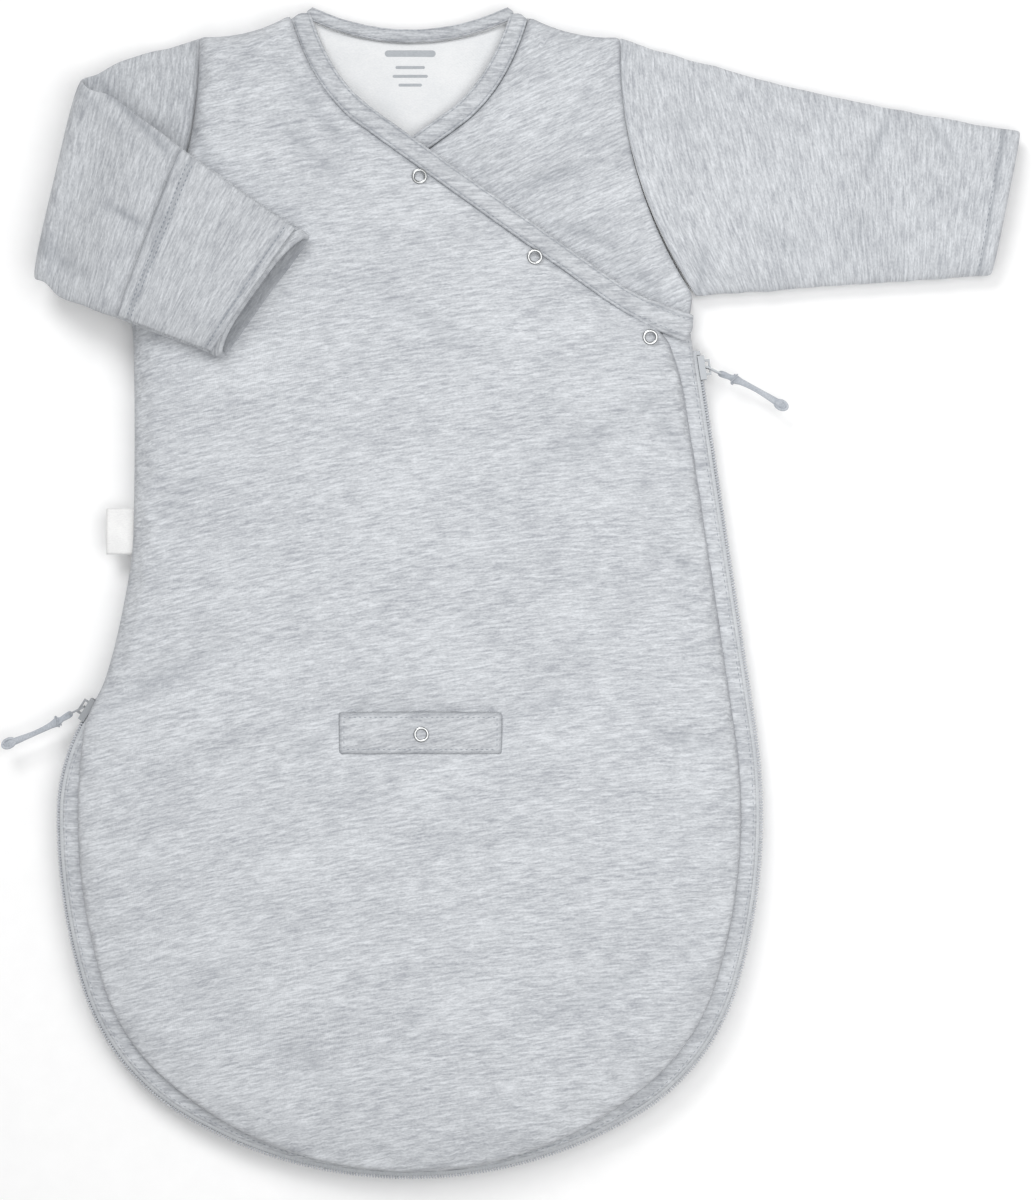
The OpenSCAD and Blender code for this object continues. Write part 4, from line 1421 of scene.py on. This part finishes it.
def build_mitt(side, patch, height, up, top_inset, thickness, thread):
    """A thin turned-back mitt that follows one face of the forearm.

    up is 1 above the forearm and -1 below it. top_inset is how far back its edge starts.
    """
    reach = MITT_LENGTH - top_inset
    depth = reach / patch.length
    us = 0.012 + (1 - np.cos(np.linspace(0.0, math.pi, MITT_COLS))) / 2 * 0.976
    start = cuff_end(patch, side + "_cuff_hem") - (top_inset + 0.3) / patch.length
    sheets = []
    for lift in (1.5, 0.1):
        for v in np.linspace(start, start - depth, MITT_ROWS):
            plan = patch.at(us, v)
            z = np.array([height(x, y) for x, y in plan])
            ripple = 0.3 * wobble(plan[:, 0], plan[:, 1], 16, 50.0)
            hem = (v - (start - depth)) * patch.length
            folded = lift * (0.55 * smoothstep(9.4, 8.4, hem) - 0.6 * bell(hem - 7.0, 1.3)
                             - 0.45 * bell(hem - (reach - 4), 1.1))
            z = z + up * (lift * thickness + ripple * lift + folded + 0.25)
            sheets.append(with_height(plan, z if up > 0 else np.clip(z, *MITT_ROOM)))
    points = np.vstack(sheets)
    across = np.tile(us * patch.width(), MITT_ROWS)
    along = np.repeat(np.linspace(0, reach, MITT_ROWS), MITT_COLS)
    grain = np.column_stack([across, along, np.zeros(len(across))])
    piece = Piece()
    piece.add(points, sheet_faces(MITT_ROWS, MITT_COLS), np.vstack([grain, grain]))
    name = side + "_turned_mitt"
    obj = piece.build(name, SHADED_SLEEVE_JERSEY)
    # Painted shade along the mitt's hem, its stitch line and its far edge, and at crease bottoms on
    # its upper face.
    lines = (0.6 * bell(along - reach + 7.0, 1.5) + 0.65 * bell(along - 4, 1.2)
             + 0.8 * bell(along - reach, 1.0))
    top = points[:len(along)]
    folds = crease_shade(top[:, 0], top[:, 1], SLEEVE_CREASES) if up > 0 else 0
    paint_shade(obj, np.concatenate([lines + folds, lines]))
    recalculate_normals(obj)
    subdivide(obj)
    place(obj, side + "_mitt", "jersey_trim", side + "_mitt")
    skin = surface(obj, up)
    rows = []
    for back in (8.2, 5.8, reach - 4):
        plan = patch.at(np.linspace(0.03, 0.97, 60), start - depth + back / patch.length)
        row = lay_on(skin, plan, up * 0.05)
        row[:, 2] = np.maximum(row[:, 2], 0.2)
        rows.append(row)
    sew(name + "_stitches", rows, side + "_mitt", 2.6, 1.9, thread)


# ---- Slot: welts and flap -----------------------------------------------------------------------

def build_slot_edges():
    """The welts round the harness slot, in the front and in the back."""
    for side, body in (("front", "front_flap"), ("back", "bag")):
        low, high = node_levels(side + "_slot_welt")
        loop = smooth_loop(top_loops(side + "_shell")[1][::-1], 2.5)
        centre = loop.mean(0)
        loop = centre + (loop - centre) * [0.985, 0.82]
        piece = Piece()
        piece.add(*ring_band(loop, (low + high) / 2, 1.6, high - low))
        obj = piece.build(side + "_slot_edge", TRIM)
        recalculate_normals(obj)
        place(obj, body, "jersey_trim", side + "_slot_welt")


def build_slot_flap():
    """The patch over the front's slot, sewn round its border. Returns its height function."""
    low, high = node_levels("slot_flap")
    loop = smooth_loop(top_loops("slot_flap")[0], 1.2)
    border = 2.6

    def bulge(x, y):
        from_edge = nearest(np.column_stack([x, y]), loop)[0]
        return 0.25 * wobble(x, y, 12, 60.0) - 0.5 * bell(from_edge - border, 0.8)
    obj = padded("slot_cover", loop, np.full(len(loop), (low + high) / 2), low, high + 0.7,
                 [TRIM, LINING], bulge, grain_turn=11.0, radius=(0.8, 1.3), spacing=2.0)
    height = surface(obj)
    place(obj, "slot_patch", "jersey_trim", "slot_flap")
    row = inward(loop, border)
    sew("slot_cover_stitches", [lay_on(height, np.vstack([row, row[:1]]))], "slot_patch",
        2.6, 1.9, 0.32)
    return height


# ---- Snaps and other metal ----------------------------------------------------------------------

def islands(node):
    """The separate parts of a CAD node as (low, high) corners."""
    points = node_points(node)
    parent = list(range(len(points)))

    def root(i):
        while parent[i] != i:
            parent[i] = parent[parent[i]]
            i = parent[i]
        return i
    places = {}
    for i, p in enumerate(points):
        parent[root(i)] = root(places.setdefault(tuple(np.round(p, 3)), i))
    for edge in frame["nodes"][node].data.edges:
        parent[root(edge.vertices[0])] = root(edge.vertices[1])
    groups = defaultdict(list)
    for i, p in enumerate(points):
        groups[root(i)].append(p)
    return [(np.min(g, 0), np.max(g, 0)) for g in groups.values()]


def turned(profile, centre, segments=48):
    """A shape turned about the vertical from a closed (radius, z) outline."""
    points = []
    for k in range(segments):
        a = 2 * math.pi * k / segments
        points += [(centre[0] + r * math.cos(a), centre[1] + r * math.sin(a), z)
                   for r, z in profile]
    faces = tube_faces(segments, len(profile), joined=True)
    return points, [(a, d, c, b) for a, b, c, d in faces]


def rounded_rect(inner, outer, low, high, radius, steps=4):
    """A closed outline with rounded corners."""
    out = []
    for cx, cz, start in ((outer - radius, high - radius, 0), (inner + radius, high - radius, 90),
                          (inner + radius, low + radius, 180), (outer - radius, low + radius, 270)):
        for k in range(steps + 1):
            a = math.radians(start + 90 * k / steps)
            out.append((cx + radius * math.cos(a), cz + radius * math.sin(a)))
    return out


def build_snap(name, node, height, body):
    """The prong rings that show on the outside of each snap."""
    ring_width, sunk, rise = 1.45, 0.9, 0.95
    piece = Piece()
    for low, high in islands(node):
        centre = (low + high) / 2
        size = (high[0] - low[0]) / 2
        turn = np.linspace(0, 2 * math.pi, 16, endpoint=False)
        base = max(height(centre[0] + size * math.cos(a), centre[1] + size * math.sin(a), low[2])
                   for a in turn) - 0.15
        piece.add(*turned(rounded_rect(size - ring_width, size, base - sunk, base + rise, 0.55),
                          centre))
    obj = piece.build(name, NICKEL)
    recalculate_normals(obj)
    place(obj, body, "nickel", node)


def refinish(nodes, material, bevel_mm, segments, smooth=False):
    """Gives CAD nodes that stay in view a better material and softened edges."""
    for node in nodes:
        carried = frame["nodes"][node]
        carried.data.materials.clear()
        carried.data.materials.append(material)
        bevel = carried.modifiers.new("edge", "BEVEL")
        bevel.width = bevel_mm * METRE
        bevel.segments = segments
        if smooth:
            carried.data.polygons.foreach_set("use_smooth", [True] * len(carried.data.polygons))


# ---- Zip pulls ----------------------------------------------------------------------------------

def build_pull(side):
    """A ribbon tab hanging from the slider's bail: a knot, a double strip and an end loop."""
    node = side + "_pull_ribbon"
    joint = JOINTS[side + "_pull_swing"]
    points = node_points(node)
    pivot = np.array(joint["pos_m"]) / METRE
    flat = points[:, :2] - pivot[:2]
    away = np.linalg.norm(flat, axis=1)
    way = flat.mean(0) / np.linalg.norm(flat.mean(0))
    side_way = np.array([-way[1], way[0]])
    level = (points[:, 2].min() + points[:, 2].max()) / 2
    s = np.linspace(away.min() + 0.5, away.max() - 1.0, 46)
    t = (s - s[0]) / (s[-1] - s[0])
    bow = 0.9 * np.sin(t * math.pi * 1.3)
    path = np.column_stack([pivot[:2] + s[:, None] * way + bow[:, None] * side_way,
                            level + 0.5 * np.sin(t * 4.0)])
    width = 3.2 + 0.5 * np.sin(t * 9.0) - 0.9 * bell(t - 0.16, 0.05)
    width += 1.2 * bell(t - 0.24, 0.05)
    thick = 1.4 + 1.3 * bell(t - 0.24, 0.06) + 1.0 * bell(t - 0.9, 0.06)
    piece = Piece()
    piece.add(*sweep(path, width, thick, around=14, power=2.4, tip=1.2),
              grain_along(path, 14, 0.6))
    centre = path[-1] - np.array([*(way * 3.6), 0])
    turn = np.linspace(0, 2 * math.pi, 28, endpoint=False)
    ring = (centre[:2] + 3.4 * np.cos(turn)[:, None] * way
            + 2.2 * np.sin(turn)[:, None] * side_way)
    piece.add(*ring_band(ring, centre[2] + 0.6, 1.5, 1.4))
    knot = [path[10] + np.array([*(side_way * 2.5 * math.cos(a)), 1.5 * math.sin(a)])
            + np.array([*(way * 0.7 * math.sin(2 * a)), 0])
            for a in np.linspace(0, 2 * math.pi * 0.96, 26)]
    piece.add(*sweep(np.array(knot), 1.8, 0.9, around=8,
                     up=np.tile([*way, 0.0], (len(knot), 1)), tip=0.5))
    obj = piece.build(side + "_pull_cord", RIBBON)
    recalculate_normals(obj)
    subdivide(obj)
    place(obj, joint["child"], "pull_ribbon", node)


# ---- Neck print and label -----------------------------------------------------------------------

def build_neck_print():
    """A few plain printed bars on the lining below the back neck."""
    low, high = node_box("back_neck_binding")
    centre = (low[0] + high[0]) / 2
    piece = Piece()
    for drop, length, tall in ((22, 26, 3.4), (29, 15, 1.5), (33.5, 18, 1.5), (38, 12, 1.5)):
        x = centre - length / 2 * np.cos(np.linspace(0, math.pi, 40))
        bar = np.column_stack([x, np.full(len(x), high[1] - drop)])
        piece.add(*sweep(lay_on(back_height, bar, 0.03, BACK_TOP), tall, 0.12, around=12,
                         power=3.0, tip=tall / 2))
    obj = piece.build("neck_print_bars", PRINT)
    recalculate_normals(obj)
    place(obj, "bag", "cotton_lining")


def build_label():
    """The small woven label sewn into the side seam, a little curled."""
    low, high = node_box("side_label")
    rows, cols = 18, 12
    top = []
    for i in range(rows):
        for j in range(cols):
            a, b = j / (cols - 1), i / (rows - 1)
            curl = 0.5 * math.sin(b * math.pi) * (1 - a) + 0.3 * math.sin(5 * b + 2 * a)
            top.append((low[0] + a * (high[0] - low[0]), low[1] + b * (high[1] - low[1]),
                        (low[2] + high[2]) / 2 + curl))
    piece = Piece()
    piece.add(np.vstack([top, np.array(top) - [0, 0, 0.45]]), sheet_faces(rows, cols))
    obj = piece.build("side_seam_label", LABEL)
    recalculate_normals(obj)
    place(obj, "bag", "woven_label", "side_label")


# ---- Floor, light and camera --------------------------------------------------------------------

def build_floor():
    """A pale floor that runs out past the picture."""
    half, drop = 4.0, 0.0002
    mesh = bpy.data.meshes.new("floor")
    mesh.from_pydata([(-half, -half, 0), (half, -half, 0), (half, half, 0), (-half, half, 0)],
                     [], [(0, 1, 2, 3)])
    floor = bpy.data.objects.new("floor", mesh)
    bpy.context.scene.collection.objects.link(floor)
    floor.location.z = -drop
    n = Nodes("floor_paper")
    speckle = n.noise(n.new("ShaderNodeTexCoord").outputs["Object"], 3.0, scale=90.0)
    pale, paler = (0.96, 0.96, 0.96, 1.0), (0.98, 0.98, 0.98, 1.0)
    mesh.materials.append(n.finish(Base_Color=n.ramp(speckle, (0.3, pale), (0.7, paler)),
                                   Roughness=0.9, Specular_IOR_Level=0.1))


def add_lamp(name, at, target, size, power):
    """A round soft lamp that points at a target, all in metres and watts."""
    light = bpy.data.lights.new(name, "AREA")
    light.shape = "DISK"
    light.size = size
    light.energy = power
    lamp = bpy.data.objects.new(name, light)
    lamp.location = at
    aim = Vector(target) - Vector(at)
    lamp.rotation_euler = aim.to_track_quat("-Z", "Y").to_euler()
    bpy.context.scene.collection.objects.link(lamp)
    lamp.visible_camera = False


def light_scene():
    """Soft light from above the neck, a fill over the chest, and a pale surround."""
    world = bpy.data.worlds.new("studio")
    world.use_nodes = True
    shade = world.node_tree.nodes["Background"]
    shade.inputs["Color"].default_value = (1, 1, 1, 1)
    shade.inputs["Strength"].default_value = 0.43
    bpy.context.scene.world = world
    add_lamp("key", (-0.6, 1.35, 1.8), (0.05, -0.05, 0), 1.0, 18)
    add_lamp("fill", (0.24, -0.03, 0.9), (0.1, -0.03, 0), 0.9, 5.2)
    view = bpy.context.scene.view_settings
    view.view_transform = "Standard"
    view.look = "None"


def aim_camera():
    """Looks straight down, framed a little above the bag's height."""
    low, high = cad_bounds
    margin = 1.0267
    centre_x, centre_y, focus_z = 0.0551, -0.0051, 0.012
    field = (high.y - low.y) * margin
    data = bpy.data.cameras.new("camera")
    data.lens = 100
    data.sensor_fit = "VERTICAL"
    data.sensor_height = 36
    data.clip_end = 20
    camera = bpy.data.objects.new("camera", data)
    camera.location = (centre_x, centre_y, focus_z + field * data.lens / data.sensor_height)
    bpy.context.scene.collection.objects.link(camera)
    bpy.context.scene.camera = camera


# ---- Building it all ----------------------------------------------------------------------------

front_height = build_front()
back_height = build_back()
build_under_front()
build_bindings()
build_zip()
right_lower, right_height = build_right_sleeve()
left_lower, left_height = build_left_sleeve()
build_mitt("left", left_lower, left_height, 1, top_inset=5.5, thickness=1.6, thread=0.5)
build_mitt("right", right_lower, lambda x, y: 0.95, -1, top_inset=0.0, thickness=0.3, thread=0.3)
cuff_line = right_lower.at(np.linspace(0.02, 0.98, 70), 1 - 1.0 / right_lower.length)
sew("right_cuff_stitches", [lay_on(right_height, cuff_line)], "right_forearm")
build_slot_edges()
flap_height = build_slot_flap()
build_snap("wrap_snap_rings", "wrap_snap_caps", front_height, "front_flap")
build_snap("slot_snap_rings", "slot_snap_cap", flap_height, "slot_patch")
refinish(("wrap_snap_studs", "wrap_snap_stud_rings", "wrap_snap_sockets", "slot_snap_stud",
          "slot_snap_ring", "slot_snap_socket"), NICKEL, 0.18, 2, smooth=True)
refinish(("zip_stops",), SLIDER_METAL, 0.18, 2, smooth=True)
refinish(("right_slider", "left_slider", "right_pull_bail", "left_pull_bail"), SLIDER_METAL, 0.4, 3)
build_pull("right")
build_pull("left")
build_neck_print()
build_label()
build_floor()
light_scene()
aim_camera()
